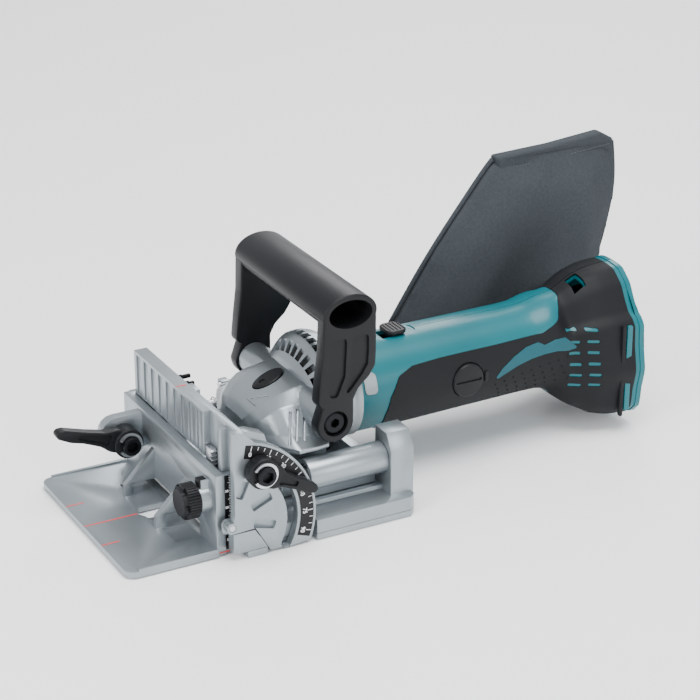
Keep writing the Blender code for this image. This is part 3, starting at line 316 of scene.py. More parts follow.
def circle(cx, cy, radius, count=64):
    return arc(cx, cy, radius, 0, 360 - 360 / count, count)


def arc(cx, cy, radius, start, end, count):
    angles = [math.radians(start + (end - start) * i / (count - 1)) for i in range(count)]
    return [(cx + radius * math.cos(a), cy + radius * math.sin(a)) for a in angles]


def rounded(points, radius, count=6):
    made = []
    for i, corner in enumerate(points):
        r = radius[i] if isinstance(radius, (list, tuple)) else radius
        here, before, after = Vector(corner), Vector(points[i - 1]), Vector(points[(i + 1) % len(points)])
        if r <= 0:
            made.append(corner)
            continue
        a, b = (before - here).normalized(), (after - here).normalized()
        half = a.angle(b) / 2
        reach = min(r / math.tan(half), 0.48 * (before - here).length, 0.48 * (after - here).length)
        r = reach * math.tan(half)
        centre = here + (a + b).normalized() * (r / math.sin(half))
        start, end = here + a * reach, here + b * reach
        first = math.atan2(start.y - centre.y, start.x - centre.x)
        turn = (math.atan2(end.y - centre.y, end.x - centre.x) - first + math.pi) % math.tau - math.pi
        for k in range(count + 1):
            angle = first + turn * k / count
            made.append((centre.x + r * math.cos(angle), centre.y + r * math.sin(angle)))
    return made


def cut(target, *others, operation="DIFFERENCE"):
    for other in others:
        step = target.modifiers.new("cut", "BOOLEAN")
        step.operation, step.object = operation, other
    made = plain(target, target.name)
    for other in others:
        bpy.data.objects.remove(other)
    return made


def join(target, *others):
    return cut(target, *others, operation="UNION")


def soften(target, width, segments=2, limit=32.0):
    shape = bmesh.new()
    shape.from_mesh(target.data)
    bmesh.ops.remove_doubles(shape, verts=shape.verts, dist=0.02 * mm)
    bmesh.ops.dissolve_limit(shape, angle_limit=math.radians(1.5), verts=shape.verts, edges=shape.edges)
    shape.to_mesh(target.data)
    shape.free()
    bevel = target.modifiers.new("soft edges", "BEVEL")
    bevel.width, bevel.segments = width * mm, segments
    bevel.limit_method, bevel.angle_limit = "ANGLE", math.radians(limit)
    bevel.use_clamp_overlap = True
    return plain(target, target.name, 0.001)


def put(made, body, slotName, *nodes, smooth=32.0, look=None):
    if made.modifiers or made.type != "MESH" or made.matrix_world != Matrix.Identity(4):
        made = plain(made, made.name)
    made.data.materials.clear()
    made.data.materials.append(look or finishes[slotName])
    made.data.shade_smooth()
    made.data.set_sharp_from_angle(angle=math.radians(smooth))
    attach(made, body)
    if nodes:
        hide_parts(*nodes)
    return made


def copyOf(node, name):
    return keep(name, frame["nodes"][node].data.copy())


# every CAD node gets its finish first

record = frame["record"]
slotOf = {entry["node"]: entry["material_slot"] for entry in record["subparts"]}
bodyOf = {node: body for body, nodes in record["behaviour"]["bodies"].items() for node in nodes}
for node, obj in frame["nodes"].items():
    obj.data.materials.clear()
    obj.data.materials.append(finishes[slotOf[node]])

softEdges = {  # node: edge radius in mm
    "sole_plate": 0.5, "blade_cover": 0.8, "slide_carriage": 0.8, 
    "depth_turret": 0.3, "turret_pin": 0.3, "bag_collar": 0.4,
    "height_rack": 0.15, "depth_screw": 0.3,
}
for node, width in softEdges.items():
    made = soften(copyOf(node, node + "Soft"), width)
    put(made, bodyOf[node], slotOf[node], node)
print("edges softened")

spring = {"rear": 94.8, "z": 32.0, "kept": 0.573}
for node, y in (("return_spring_near", -53.0), ("return_spring_far", 53.0)):
    coil = put(copyOf(node, node + "_coil"), bodyOf[node], slotOf[node], node)
    at(spring["rear"], y, spring["z"])
    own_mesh(coil)
print("springs set")


# motor body: rays from the motor axis measured against a few outlines, smoothed along x

body = {"axisZ": 54.0, "rays": 48, "steps": 6, "wall": 3.0, "tealIn": 0.5, "skin": 1.3, "seam": 0.006}
sections = [(111.4, 28.5, 25.5, 82.5, 1.0), (128, 28.5, 25.5, 82.5, 1.0), (150, 27.8, 26.0, 82.0, 0.95),
            (180, 27.2, 26.6, 82.0, 0.93), (205, 27.0, 27.0, 82.0, 0.92), (232, 26.8, 27.2, 82.5, 0.92),
            (246, 28.0, 25.2, 85.5, 0.92)]
footSide = [(0, 6), (16, 6), (30, 8), (36.5, 15), (37.5, 26), (37.5, 40), (37.5, 56), (37.0, 68), (34, 72), (29, 75),
            (25, 81), (20, 90), (12, 96.5), (8, 97.6), (0, 98)]


def superRing(x, halfY, low, high, power, count=96):
    made = []
    for u, v in circle(0, 0, 1, count):
        made.append((x, math.copysign(abs(u) ** power, u) * halfY,
                     (low + high) / 2 + math.copysign(abs(v) ** power, v) * (high - low) / 2))
    return made


def reach(outline, angle):
    ray, found = Vector((math.cos(angle), math.sin(angle))), 0.0
    for i, end in enumerate(outline):
        a, b = Vector(outline[i - 1]) - Vector((0, body["axisZ"])), Vector(end) - Vector((0, body["axisZ"]))
        side = b - a
        cross = ray.x * side.y - ray.y * side.x
        if abs(cross) > 1e-9:
            along, share = (a.x * side.y - a.y * side.x) / cross, (a.x * ray.y - a.y * ray.x) / cross
            if along > 0 and -1e-9 <= share <= 1 + 1e-9:
                found = along
    return found


def rayAngle(i):  # the first and last rays stop just short of the parting plane
    return -math.pi / 2 + body["seam"] + (math.pi - 2 * body["seam"]) * i / (body["rays"] - 1)


def profileAt(outline, share=1.0):  # one reach for each ray of a half, bottom to top
    return [reach(outline, rayAngle(i)) * share for i in range(body["rays"])]


footOutline = rounded(footSide + [(-y, z) for y, z in reversed(footSide[1:-1])], 3.0, 4)
stations = [(s[0], profileAt([(y, z) for _, y, z in superRing(*s, 120)])) for s in sections]
footShares = ((256, 0.745), (263, 0.835), (270, 0.915), (281, 0.975), (300, 1.0))
stations += [(x, profileAt(footOutline, share)) for x, share in footShares]


def spline(values, t, i):
    a, b, c, d = (values[max(0, min(len(values) - 1, i + k))] for k in (-1, 0, 1, 2))
    return b + 0.5 * t * (c - a + t * (2 * a - 5 * b + 4 * c - d + t * (3 * (b - c) + d - a)))


def halfRings(side, outer, inner, start=None, end=None, rayLow=0, rayHigh=None):
    rayHigh = rayHigh or body["rays"]
    rings = []
    for i in range(len(stations) - 1):
        for k in range(body["steps"] + (i == len(stations) - 2)):
            t = k / body["steps"]
            x = stations[i][0] + (stations[i + 1][0] - stations[i][0]) * t
            if (start and x < start) or (end and x > end):
                continue
            reached = [spline([s[1][r] for s in stations], t, i) for r in range(body["rays"])]
            ring = []
            for offset, order in ((outer, range(rayLow, rayHigh)), (inner, range(rayHigh - 1, rayLow - 1, -1))):
                for r in order:
                    angle = rayAngle(r)
                    y = side * (reached[r] + offset) * math.cos(angle)
                    ring.append((x, y, body["axisZ"] + (reached[r] + offset) * math.sin(angle)))
            rings.append(ring)
    return rings


def loft(name, rings):
    mesh, shape = bpy.data.meshes.new(name), bmesh.new()
    loops = [[shape.verts.new(at(*p)) for p in ring] for ring in rings]
    count = len(loops[0])
    for a, b in zip(loops, loops[1:]):
        for i in range(count):
            j = (i + 1) % count
            shape.faces.new((a[i], a[j], b[j], b[i]))
    for end in (loops[0][::-1], loops[-1]):
        shape.faces.new(end)
    bmesh.ops.triangulate(shape, faces=shape.faces)
    bmesh.ops.recalc_face_normals(shape, faces=shape.faces)
    shape.to_mesh(mesh)
    shape.free()
    return keep(name, mesh)


gripSide = rounded([(127.6, 26), (131, 25.5), (150, 29.5), (200, 31), (236, 31.5), (248, 26), (262, 11), (276, 3),
                    (293.6, 3), (293.6, 110), (263, 110), (260, 96), (256.5, 87), (249, 76), (236, 70.5), (205, 69.8),
                    (165, 69.6), (146, 68.8), (136, 65), (129.6, 54), (127.2, 42)], 4, 5)
swoosh = rounded([(199.4, 47.9), (206, 55.5), (214, 61), (223, 65), (231.7, 66.3), (236, 64.0), (243, 66.2),
                  (250, 66.3), (258.5, 58.5), (252, 57.6), (244, 59.0), (236, 58.5), (226, 57.2), (216, 54.7),
                  (208, 51.5)], 1.0, 3)
finishes["window"] = moulded("windowPlastic", (0.26, 0.30, 0.31), (0.20, 0.235, 0.245), 0.25, 0.5, 0.01, 0.4)
finishes["inlay"] = moulded("inlayPlastic", (0.003, 0.085, 0.11), (0.002, 0.06, 0.08), 0.4, 0.5, 0.05)


def sideSpan(side, inner, outer):
    return (inner, outer) if side > 0 else (-outer, -inner)


for side, word, suffix in ((-1, "left", "near"), (1, "right", "far")):
    shell = loft("shell_" + word, halfRings(side, -body["tealIn"], -body["tealIn"] - body["wall"]))
    y0, y1 = sideSpan(side, 12, 40)
    cutters = [rod("capHole", (182.1, y0, 53.1), (182.1, y1, 53.1), 10.9, 72),
               box("stemSlot", (136.5, -5.6, 72), (150.5, 5.6, 90)),
               plate("sliderBed", rounded([(131, -7.9), (160, -7.9), (160, 7.9), (131, 7.9)], 7.5, 10),
                     "xy", 80.9, 90),
               box("latchHole", (264, -14, 78), (272, -2, 104))]
    put(cut(shell, *cutters), "motor_body", "teal", "housing_" + word, smooth=38)
    grip = loft("grip_" + word + "_rubber", halfRings(side, 0.0, -body["skin"], 118, 293.9))
    low, high = sideSpan(side, -3, 60)
    grip = cut(grip, plate("gripArea", gripSide, "xz", low, high), operation="INTERSECT")
    vents = []
    for row in range(6):
        z = 69.5 - 7.0 * row
        for x in (255.6 + 0.2 * row, 266.4 + 0.2 * row):
            slit = [(x - 3.6, z - 1.2), (x + 3.6, z - 1.6), (x + 3.6, z + 0.4), (x - 3.6, z + 0.9)]
            vents.append(plate("vent", rounded(slit, 0.9, 3), "xz", *sideSpan(side, 22, 50)))
    grip = cut(grip, rod("capHole", (182.1, y0, 53.1), (182.1, y1, 53.1), 10.9, 72),
               box("latchHole", (264, -14, 78), (272, -2, 104)), *vents)
    put(grip, "motor_body", "rubber", "grip_" + word, smooth=38)
    inlay = loft("inlay_" + word, halfRings(side, 0.22, -0.6, 190, 265, 8, 40))
    inlay = cut(inlay, plate("swooshArea", swoosh, "xz", low, high), operation="INTERSECT")
    put(inlay, "motor_body", "teal", look=finishes["inlay"], smooth=38)
    window = loft("side_window_" + word, halfRings(side, 0.25, -0.6, 111.4, 128, 14, 40))
    area = plate("windowArea", rounded([(113, 59), (121, 58.4), (121, 70.2), (113, 70.7)], 2.5), "xz", low, high)
    put(cut(window, area, operation="INTERSECT"), "motor_body", "teal", look=finishes["window"], smooth=38)
    rim = loft("rear_rim_" + word, halfRings(side, 0.05, -2.6, 294.1))
    put(rim, "motor_body", "teal", smooth=38)
    rail = plate("battery_rail_" + word, rounded([(287.2, 14), (291, 14), (291, 70), (287.2, 70)], 1.2), "xz",
                 *sideSpan(side, 36.6, 38.3), bevel=0.3)
    put(rail, "motor_body", "teal")
    lip = plate("battery_lip_" + word, rounded([(283.6, 11), (286.0, 11), (286.0, 71), (283.6, 71)], 1.1), "xz",
                *sideSpan(side, 36.4, 38.8), bevel=0.3)
    put(lip, "motor_body", "rubber")
    cap = turned("cap_" + suffix, [(0, 4.2), (8.8, 4.2), (9.8, 3.9), (10.4, 3.2), (10.4, 0), (0, 0)],
                 (182.1, side * 24.2, 53.1), (0, side, 0), 72)
    slotLow, slotHigh = sideSpan(side, 27.6, 32)
    cap = cut(cap, box("coinSlot", (173.6, slotLow, 52.3), (190.6, slotHigh, 53.9)))
    put(cap, "motor_body", "black", "brush_cap_" + suffix)
    tab = plate("cap_notch_" + suffix, rounded([(193.4, 50), (195.6, 50), (195.6, 56.4), (193.4, 56.4)], 0.6), "xz",
                *sideSpan(side, 26.6, 28.0), bevel=0.2)
    put(tab, "motor_body", "black")
# a near-black sheet in the latch hole: painted shade where the opening is shadowed
put(box("latch_painted_shade", (264.2, -13.8, 80), (271.8, -2.2, 81)), "motor_body", "dark")
print("motor body moulded")


# grip dots: points laid on the rubber, one small dome on each

def gridOfPieces(name, points, makeShape, material, inputs):
    mesh = bpy.data.meshes.new(name)
    mesh.from_pydata(points, [], [])
    made = keep(name, mesh)
    tree = bpy.data.node_groups.new(name + "Tree", "GeometryNodeTree")
    tree.interface.new_socket("Geometry", in_out="INPUT", socket_type="NodeSocketGeometry")
    tree.interface.new_socket("Geometry", in_out="OUTPUT", socket_type="NodeSocketGeometry")
    sockets = {}
    for key in inputs:
        sockets[key] = tree.interface.new_socket(key, in_out="INPUT", socket_type="NodeSocketFloat")
    start, end = tree.nodes.new("NodeGroupInput"), tree.nodes.new("NodeGroupOutput")
    lay = tree.nodes.new("GeometryNodeInstanceOnPoints")
    tree.links.new(start.outputs["Geometry"], lay.inputs["Points"])
    makeShape(tree, start, lay)
    real, paint = tree.nodes.new("GeometryNodeRealizeInstances"), tree.nodes.new("GeometryNodeSetMaterial")
    paint.inputs["Material"].default_value = material
    tree.links.new(lay.outputs[0], real.inputs[0])
    tree.links.new(real.outputs[0], paint.inputs[0])
    tree.links.new(paint.outputs[0], end.inputs[0])
    step = made.modifiers.new("pieces", "NODES")
    step.node_group = tree
    for key, value in inputs.items():
        step[sockets[key].identifier] = value
    return plain(made, name, 0.0005)


def domes(tree, start, lay):
    ball = tree.nodes.new("GeometryNodeMeshUVSphere")
    ball.inputs["Segments"].default_value, ball.inputs["Rings"].default_value = 8, 6
    tree.links.new(start.outputs["Radius"], ball.inputs["Radius"])
    tree.links.new(ball.outputs[0], lay.inputs["Instance"])


def surfaceY(obj, x, z, side):
    hit, where, _, _ = obj.ray_cast(at(x, side * 80, z), Vector((0, -side, 0)))
    return where if hit else None


bpy.context.view_layer.update()
for side, word in ((-1, "left"), (1, "right")):
    grip = bpy.data.objects["grip_" + word + "_rubber"]
    spots = []
    for row in range(4):
        for k in range(9):
            x, z = 202 + 6.2 * k + 2.2 * row, 45.5 - 3.9 * row + 1.15 * k * (0.9 - 0.1 * row)
            where = surfaceY(grip, x, z, side)
            if where and x < 256:
                spots.append(where[:])
    dots = gridOfPieces("grip_dots_" + word, spots, domes, finishes["rubber"], {"Radius": 0.62 * mm})
    put(dots, "motor_body", "rubber")
print("grip dots laid")


# gear housing, its collar and the band behind it

gear = {"roofX": 58.0, "roofZ": 66.0, "slope": 0.43, "centre": (64.6, 0.5), "pad": (9.0, 6.4), "bed": (9.6, 7.0),
        "padDepth": 3.0, "bedDepth": 5.7}
wedge = [  # x, ridge, then the corners of one side from the ridge down, then the underside
    (42.5, 52.6, 11, 52.3, 17, 50.0, 19.5, 46.5, 21, 43.8, 21, 40, 20.5, 37, 15, 34, 34),
    (46.0, 58.5, 14, 58.0, 22.5, 55.0, 27, 49.0, 31, 45.6, 31, 42.5, 29, 38, 28, 27, 27),
    (52.0, 63.0, 17, 62.5, 26, 60.0, 36, 50.5, 44, 46.8, 44, 43.8, 37.4, 43.2, 37.4, 23.9, 23.9),
    (58.0, 66.0, 18, 65.5, 28, 63.0, 41, 51.0, 51.5, 46.4, 51.5, 43.8, 37.4, 43.2, 37.4, 23.9, 23.9),
    (64.0, 68.8, 19, 68.0, 29.4, 64.0, 42, 50.5, 51.5, 46.4, 51.5, 43.8, 37.4, 43.2, 37.4, 23.9, 23.9),
    (70.0, 71.0, 20, 70.0, 30, 64.5, 43, 50.0, 51.5, 46.4, 51.5, 43.8, 37.4, 43.2, 37.4, 23.9, 23.9),
    (77.0, 72.5, 20, 71.5, 31, 66.0, 42, 51.0, 50.5, 46.4, 50.5, 43.8, 37.4, 43.2, 37.0, 23.9, 23.9),
    (84.0, 73.0, 18, 72.0, 29, 67.0, 35, 53.0, 36, 48, 36, 44, 35, 40, 32, 24.4, 24.4)]
collar = [(75.5, 22, 32, 70, 0.9), (77.5, 31, 27, 75.5, 0.9), (79.5, 34.6, 24.2, 79.5, 0.9),
          (82.5, 36.4, 23.95, 85, 0.93), (85.5, 37, 23.9, 89.2, 0.95), (88, 37, 23.9, 90.8, 0.95),
          (94, 37, 23.9, 91, 0.95)]


def smoothLoft(name, listed, steps=4, count=96):
    rings = []
    for i in range(len(listed) - 1):
        for k in range(steps + (i == len(listed) - 2)):
            t = k / steps
            x = listed[i][0] + (listed[i + 1][0] - listed[i][0]) * t
            values = [spline([s[c] for s in listed], t, i) for c in range(1, 5)]
            rings.append(superRing(x, values[0], max(values[1], 23.9), *values[2:], count))
    return loft(name, rings)


def wedgeRings(steps=3):
    corner = [0, 5.0, 4.0, 6.0, 1.4, 1.2, 0.8, 0.8]
    rings = []
    for i in range(len(wedge) - 1):
        for k in range(steps + (i == len(wedge) - 2)):
            t = k / steps
            x, ridge, *rest = [a + (b - a) * t for a, b in zip(wedge[i], wedge[i + 1])]
            *sides, foot = rest
            right = list(zip(sides[0::2], sides[1::2]))
            outline = [(0, ridge), *right, (0, foot), *[(-y, z) for y, z in reversed(right)]]
            rings.append([(x, y, z) for y, z in rounded(outline, [*corner, 0, *corner[:0:-1]], 5)])
    return rings


def slanted(name, half, low, high, inset=0.0, edge=0.0):
    rings = []
    for drop, shrink in ((low, 0.0), (high - edge, 0.0), (high, inset)):
        rings.append([(x, y, gear["roofZ"] + gear["slope"] * (x - gear["roofX"]) + drop)
                      for x, y in oval(gear["centre"], (half[0] - shrink, half[1] - shrink), 64)])
    return loft(name, rings)


def oval(centre, half, count=96):
    return [(centre[0] + half[0] * math.cos(a), centre[1] + half[1] * math.sin(a))
            for a in [math.tau * i / count for i in range(count)]]


gearCase = loft("gear_case", wedgeRings())
gearCase = join(gearCase, smoothLoft("collar", collar),
                rod("crossBoss", (78.5, -46.7, 60.5), (78.5, 46.7, 60.5), 10.0, 63))
holes = [rod("gearCavity", (62.5, 0, 20), (62.5, 0, 51), 16.8, 65),
         rod("spindleCavity", (62.5, 0, 48), (62.5, 0, 58), 7, 41),
         rod("shaftCavity", (67, 0, 54), (96, 0, 54), 12.4, 49), rod("fanCavity", (88, 0, 54), (96, 0, 54), 24.5, 67),
         rod("lockHole", (67.4, 0, 58), (67.4, 0, 80), 4.5, 39),
         slanted("lockBed", gear["bed"], -gear["bedDepth"], 14.0),
         rod("boltHoleNear", (78.5, -31, 60.5), (78.5, -48, 60.5), 3.3, 31),
         rod("boltHoleFar", (78.5, 31, 60.5), (78.5, 48, 60.5), 3.3, 31)]
gearCase = cut(gearCase, *holes)
vents = []
for x0, x1, r0, r1, wide, pitch in ((79.6, 83.4, 21.5, 36.0, 2.2, 13.0), (86.6, 91.4, 33.2, 42.0, 2.5, 11.0)):
    for k in range(9):
        u, v = (f(math.radians(90 + pitch * (k - 4))) for f in (math.cos, math.sin))
        corners = ((r0, -wide), (r0, wide), (r1, wide), (r1, -wide))
        block = [(x0, u * r - v * w, 54 + v * r + u * w) for r, w in corners]
        vents.append(loft("vent", [block, [(x1, y, z) for _, y, z in block]]))
gearCase = cut(gearCase, *vents)
grooves = []
for k in range(4):
    x = 50.5 + 4.6 * k
    for side in (-1, 1):
        low, high = (x, side * 45.0, 47.2 + 0.3 * k), (x + 7.5, side * 31.5, 61.0 + 0.5 * k)
        grooves.append(rod("groove", low, high, 1.0, 12))
gearCase = cut(gearCase, *grooves)
put(gearCase, "motor_body", "cast", "gear_housing", smooth=30)
# near-black cones behind the exhaust vents: painted shade seen through the slots
for name, profile, x in (("exhaust_painted_shade_front", [(22.0, 0), (23.4, 0), (30.4, 4.2), (29.0, 4.2)], 79.4),
                         ("exhaust_painted_shade_rear", [(33.4, 0), (35.0, 0), (35.0, 5.2), (33.4, 5.2)], 86.4)):
    put(turned(name, profile, (x, 0, 54), (1, 0, 0), 64), "motor_body", "dark")
for name, (x0, y0), (x1, y1) in (("nose_line_front", (49.3, -13.0), (49.3, -4.0)),
                                 ("nose_line_side", (50.6, -6.0), (57.0, -13.5))):
    heights = [58.5 + 4.5 * (x - 46) / 6 if x < 52 else 63 + 3 * (x - 52) / 6 for x in (x0, x1)]
    put(rod(name, (x0, y0, heights[0]), (x1, y1, heights[1]), 0.35, 8), "motor_body", "cast")
band = smoothLoft("front_band", [(94.3, 34.8, 27, 90.5, 0.95), (97, 34.8, 26.8, 90.2, 0.95), (103, 33, 26, 87, 0.95),
                                 (108, 30.2, 25.2, 84.2, 1.0), (111.1, 29, 25, 83, 1.0)])
band = cut(band, rod("fanRoom", (93, 0, 54), (104, 0, 54), 24.5, 65),
           rod("bearingSeat", (100, 0, 54), (114, 0, 54), 11.4, 49))
put(band, "motor_body", "cast", "bearing_plate", smooth=30)
print("gear housing cast")


# slide switch and shaft lock

pad = plate("switch_pad", rounded([(139.4, -7.5), (152.6, -7.5), (152.6, 7.5), (139.4, 7.5)], 4.5, 8),
            "xy", 82.0, 84.6, bevel=0.9)
stem = box("stem", (143, -5, 76.5), (149, 5, 83))
pad = join(pad, stem)
pad = cut(pad, *[box("ridge", (141.4 + 2.3 * k, -5.5, 84.1), (142.2 + 2.3 * k, 5.5, 86)) for k in range(5)])
put(pad, "switch", "black", "slide_switch")
button = slanted("lock_pad", gear["pad"], -gear["padDepth"], 0.8, 0.7, 0.5)
button = join(button, rod("lockStem", (67.4, 0, 64.0), (67.4, 0, 68.5), 3.8, 33))
button = cut(button, rod("dimple", (61.0, 0.5, 67.4), (59.6, 0.5, 70.6), 1.6, 32, 3.0))
put(button, "shaft_lock", "black", "shaft_lock_button")


# D-handle

grip = {"centre": (88.0, 124.8), "outer": (16.6, 11.4), "bore": (13.4, 8.2), "outerY": 56.0, "innerY": 47.0,
        "bolt": (78.5, 60.5)}


tube = plate("d_handle", oval(grip["centre"], grip["outer"]), "xz", -grip["outerY"], grip["outerY"], bevel=1.0)
legLine = arc(*grip["bolt"], 11.4, 178, 362, 25) + rounded(
    [(90.0, 66), (90.0, 73), (93.0, 79), (99.8, 85.0), (103.8, 91), (104.3, 100), (104.3, 124), (71.6, 124),
     (71.0, 104), (69.0, 88), (67.4, 72)], [0, 3, 6, 6, 5, 4, 0, 0, 8, 8, 4], 5)
for side, suffix in ((-1, "near"), (1, "far")):
    tube = join(tube, plate("leg", legLine, "xz", *sideSpan(side, grip["innerY"], grip["outerY"]), bevel=1.3))
tube = cut(tube, plate("gripBore", oval(grip["centre"], grip["bore"]), "xz", -60, 60))
channelA = rounded([(74.8, 77), (79.5, 76), (84.5, 88), (85.5, 106), (85.5, 111), (76.0, 111), (75.6, 100),
                    (73.2, 86)], 2.2, 4)
channelB = rounded([(84.6, 76), (89.0, 80), (95.8, 88.0), (98.8, 93), (99.3, 101), (99.3, 111), (89.6, 111),
                    (89.2, 99), (87.8, 87)], 2.2, 4)
for side in (-1, 1):
    for outline in (channelA, channelB):
        tube = cut(tube, plate("channel", outline, "xz", *sideSpan(side, 54.6, 58)))
    tube = cut(tube, rod("legHole", (78.5, side * 45, 60.5), (78.5, side * 58, 60.5), 3.3, 32),
               rod("legSink", (78.5, side * 51.5, 60.5), (78.5, side * 58, 60.5), 7.6, 48))
put(tube, "motor_body", "black", "handle", smooth=35)
for side, suffix in ((-1, "near"), (1, "far")):
    bolt = turned("socket_bolt_" + suffix,
                  [(0, 18.0), (5.6, 18.0), (6.4, 17.4), (6.4, 14.8), (3.0, 14.8), (3.0, 0), (0, 0)],
                  (78.5, side * 37.0, 60.5), (0, side, 0), 48)
    bolt = cut(bolt, rod("hex", (78.5, side * 51, 60.5), (78.5, side * 58, 60.5), 2.9, 6))
    put(bolt, "motor_body", "dark_steel", "handle_bolt_" + suffix)
print("handle done")


# fence, guide, scales, knob and levers

sizes = {"pivot": (6.5, 20.0), "zeroAngle": 75.5, "bandOut": 49.0, "bandIn": 41.6, "face": -71.7, "numeral": 3.5}


def lettered(name, text, height, place, turn):  # a numeral, flat, then put in place as a mesh
    curve = bpy.data.curves.new(name, "FONT")
    curve.body, curve.size, curve.extrude, curve.offset = text, height * mm, 0.04 * mm, 0.08 * mm
    curve.align_x, curve.align_y = "CENTER", "CENTER"
    made = bpy.data.objects.new(name, curve)
    bpy.context.scene.collection.objects.link(made)
    made.matrix_world = Matrix.Translation(at(*place)) @ turn
    return plain(made, name, 0.0005)


def merged(name, pieces):
    shape = bmesh.new()
    for piece in pieces:
        piece.data.transform(piece.matrix_world)
        shape.from_mesh(piece.data)
        bpy.data.objects.remove(piece)
    mesh = bpy.data.meshes.new(name)
    shape.to_mesh(mesh)
    shape.free()
    return keep(name, mesh)


# Boxes on points, turned along the line from the centre where one is given.
def bars(name, spots, size, material, centre=None, axis="X"):
    def lay(tree, start, place):
        cube = tree.nodes.new("GeometryNodeMeshCube")
        joined = tree.nodes.new("ShaderNodeCombineXYZ")
        for key, socket in zip(("Size X", "Size Y", "Size Z"), joined.inputs):
            tree.links.new(start.outputs[key], socket)
        tree.links.new(joined.outputs[0], cube.inputs["Size"])
        tree.links.new(cube.outputs[0], place.inputs["Instance"])
        if centre is not None:
            where, away = tree.nodes.new("GeometryNodeInputPosition"), tree.nodes.new("ShaderNodeVectorMath")
            away.operation = "SUBTRACT"
            away.inputs[1].default_value = at(*centre)
            turn = tree.nodes.new("FunctionNodeAlignRotationToVector")
            turn.axis = axis
            tree.links.new(where.outputs[0], away.inputs[0])
            tree.links.new(away.outputs[0], turn.inputs["Vector"])
            tree.links.new(turn.outputs[0], place.inputs["Rotation"])
    values = {key: value * mm for key, value in zip(("Size X", "Size Y", "Size Z"), size)}
    return gridOfPieces(name, [at(*p)[:] for p in spots], lay, material, values)


px, pz = sizes["pivot"]
longTicks, shortTicks, numerals = [], [], []
for reading in range(0, 91, 5):
    angle = math.radians(sizes["zeroAngle"] - reading)
    long = reading % 15 == 0
    r = sizes["bandOut"] - (1.5 if long else 1.0)
    spot = (px + r * math.cos(angle), sizes["face"] - 0.05, pz + r * math.sin(angle))
    (longTicks if long else shortTicks).append(spot)
    if long:
        spot = (px + 44.0 * math.cos(angle), sizes["face"] - 0.05, pz + 44.0 * math.sin(angle))
        turn = Matrix.Rotation(math.pi / 2 - angle, 4, "Y") @ Matrix.Rotation(math.pi / 2, 4, "X")
        numerals.append(lettered(f"numeral_{reading}", str(reading), sizes["numeral"], spot, turn))
centre = (px, sizes["face"] - 0.05, pz)
band = arc(px, pz, 49.4, -19, 80, 60) + arc(px, pz, sizes["bandIn"], 80, -19, 60)
put(plate("angle_band", band, "xz", sizes["face"], -71.0), "guide", "scale", "angle_scale")
put(bars("angle_ticks_long", longTicks, (3.0, 0.1, 0.4), finishes["white"], centre), "guide", "white")
put(bars("angle_ticks_short", shortTicks, (2.0, 0.1, 0.3), finishes["white"], centre), "guide", "white")
put(merged("angle_numerals", numerals), "guide", "white")
ticks, numerals = {1.5: [], 0.8: []}, []
for k in range(0, 45):
    ticks[1.5 if k % 5 == 0 else 0.8].append((9.7 - (0.75 if k % 5 == 0 else 0.4), -62.55, 3.9 + k))
    if k % 10 == 5:
        turn = Matrix.Rotation(math.pi / 2, 4, "X")
        numerals.append(lettered(f"height_numeral_{k}", str(k), 1.9, (7.5, -62.55, 3.9 + k), turn))
for long, spots in ticks.items():
    name = "height_ticks_long" if long > 1 else "height_ticks_short"
    put(bars(name, spots, (long, 0.1, 0.22), finishes["white"]), "fence", "white")
put(merged("height_numerals", numerals), "fence", "white")
redLines = [box("line", (1.6, -62.62, 1.7), (10.2, -62.48, 2.3)),
            box("line", (-52.6, -2.4, 3.9), (-20.5, -1.6, 4.08)),
            box("line", (-52.6, -27.4, 3.9), (-42.0, -26.6, 4.08)),
            box("line", (-52.6, 24.6, 3.9), (-42.0, 25.4, 4.08))]
put(merged("fence_red_lines", redLines), "fence", "red")
put(box("guide_red_line", (6.75, -0.4, 75.6), (13.1, 0.4, 76.42)), "guide", "red")

fencePiece = copyOf("fence", "fence_cast")
for y0, y1 in ((-64, -62.2), (62.2, 64)):
    fencePiece = join(fencePiece, box("rim", (-46.5, y0, 3.0), (0.8, y1, 5.3)))
for x0, y0, y1 in ((-15, 30.5, 35.5), (-15, -43, -25.5)):
    fencePiece = cut(fencePiece, box("sink", (x0, y0, 3.2), (0.6, y1, 7)))
put(soften(fencePiece, 0.6), "fence", "cast", "fence")
guidePiece = copyOf("angle_guide", "guide_cast")
fins = [box("flute", (5.5, -33.2 + 10.3 * k, 49.9), (7.6, -27.4 + 10.3 * k, 74.6)) for k in range(9)]
pockets = []
for (x0, z0), (x1, z1), r in (((10.6, 37.2), (15.0, 47.0), 2.3), ((18.2, 29.8), (30.2, 34.8), 2.6),
                              ((19.4, 20.0), (32.4, 16.4), 2.5)):
    length = math.hypot(x1 - x0, z1 - z0)
    u, v = r * (z1 - z0) / length, r * (x1 - x0) / length
    corners = [(x0 - u, z0 + v), (x1 - u, z1 + v), (x1 + u, z1 - v), (x0 + u, z0 - v)]
    pockets.append(plate("pocket", rounded(corners, 1.0, 3), "xz", -73, -68.9))
guidePiece = cut(guidePiece, *fins, *pockets)
put(soften(guidePiece, 0.35), "guide", "cast", "angle_guide")

knobSpot = {"y": -48.6, "z": 31.0, "r": 10.3, "teeth": 40}


def knurl(count, outer, inner):
    made = []
    for i in range(count):
        for share, r in ((0.0, inner), (0.28, outer), (0.62, outer), (0.9, inner)):
            a = math.tau * (i + share) / count
            made.append((knobSpot["y"] + r * math.cos(a), knobSpot["z"] + r * math.sin(a)))
    return made


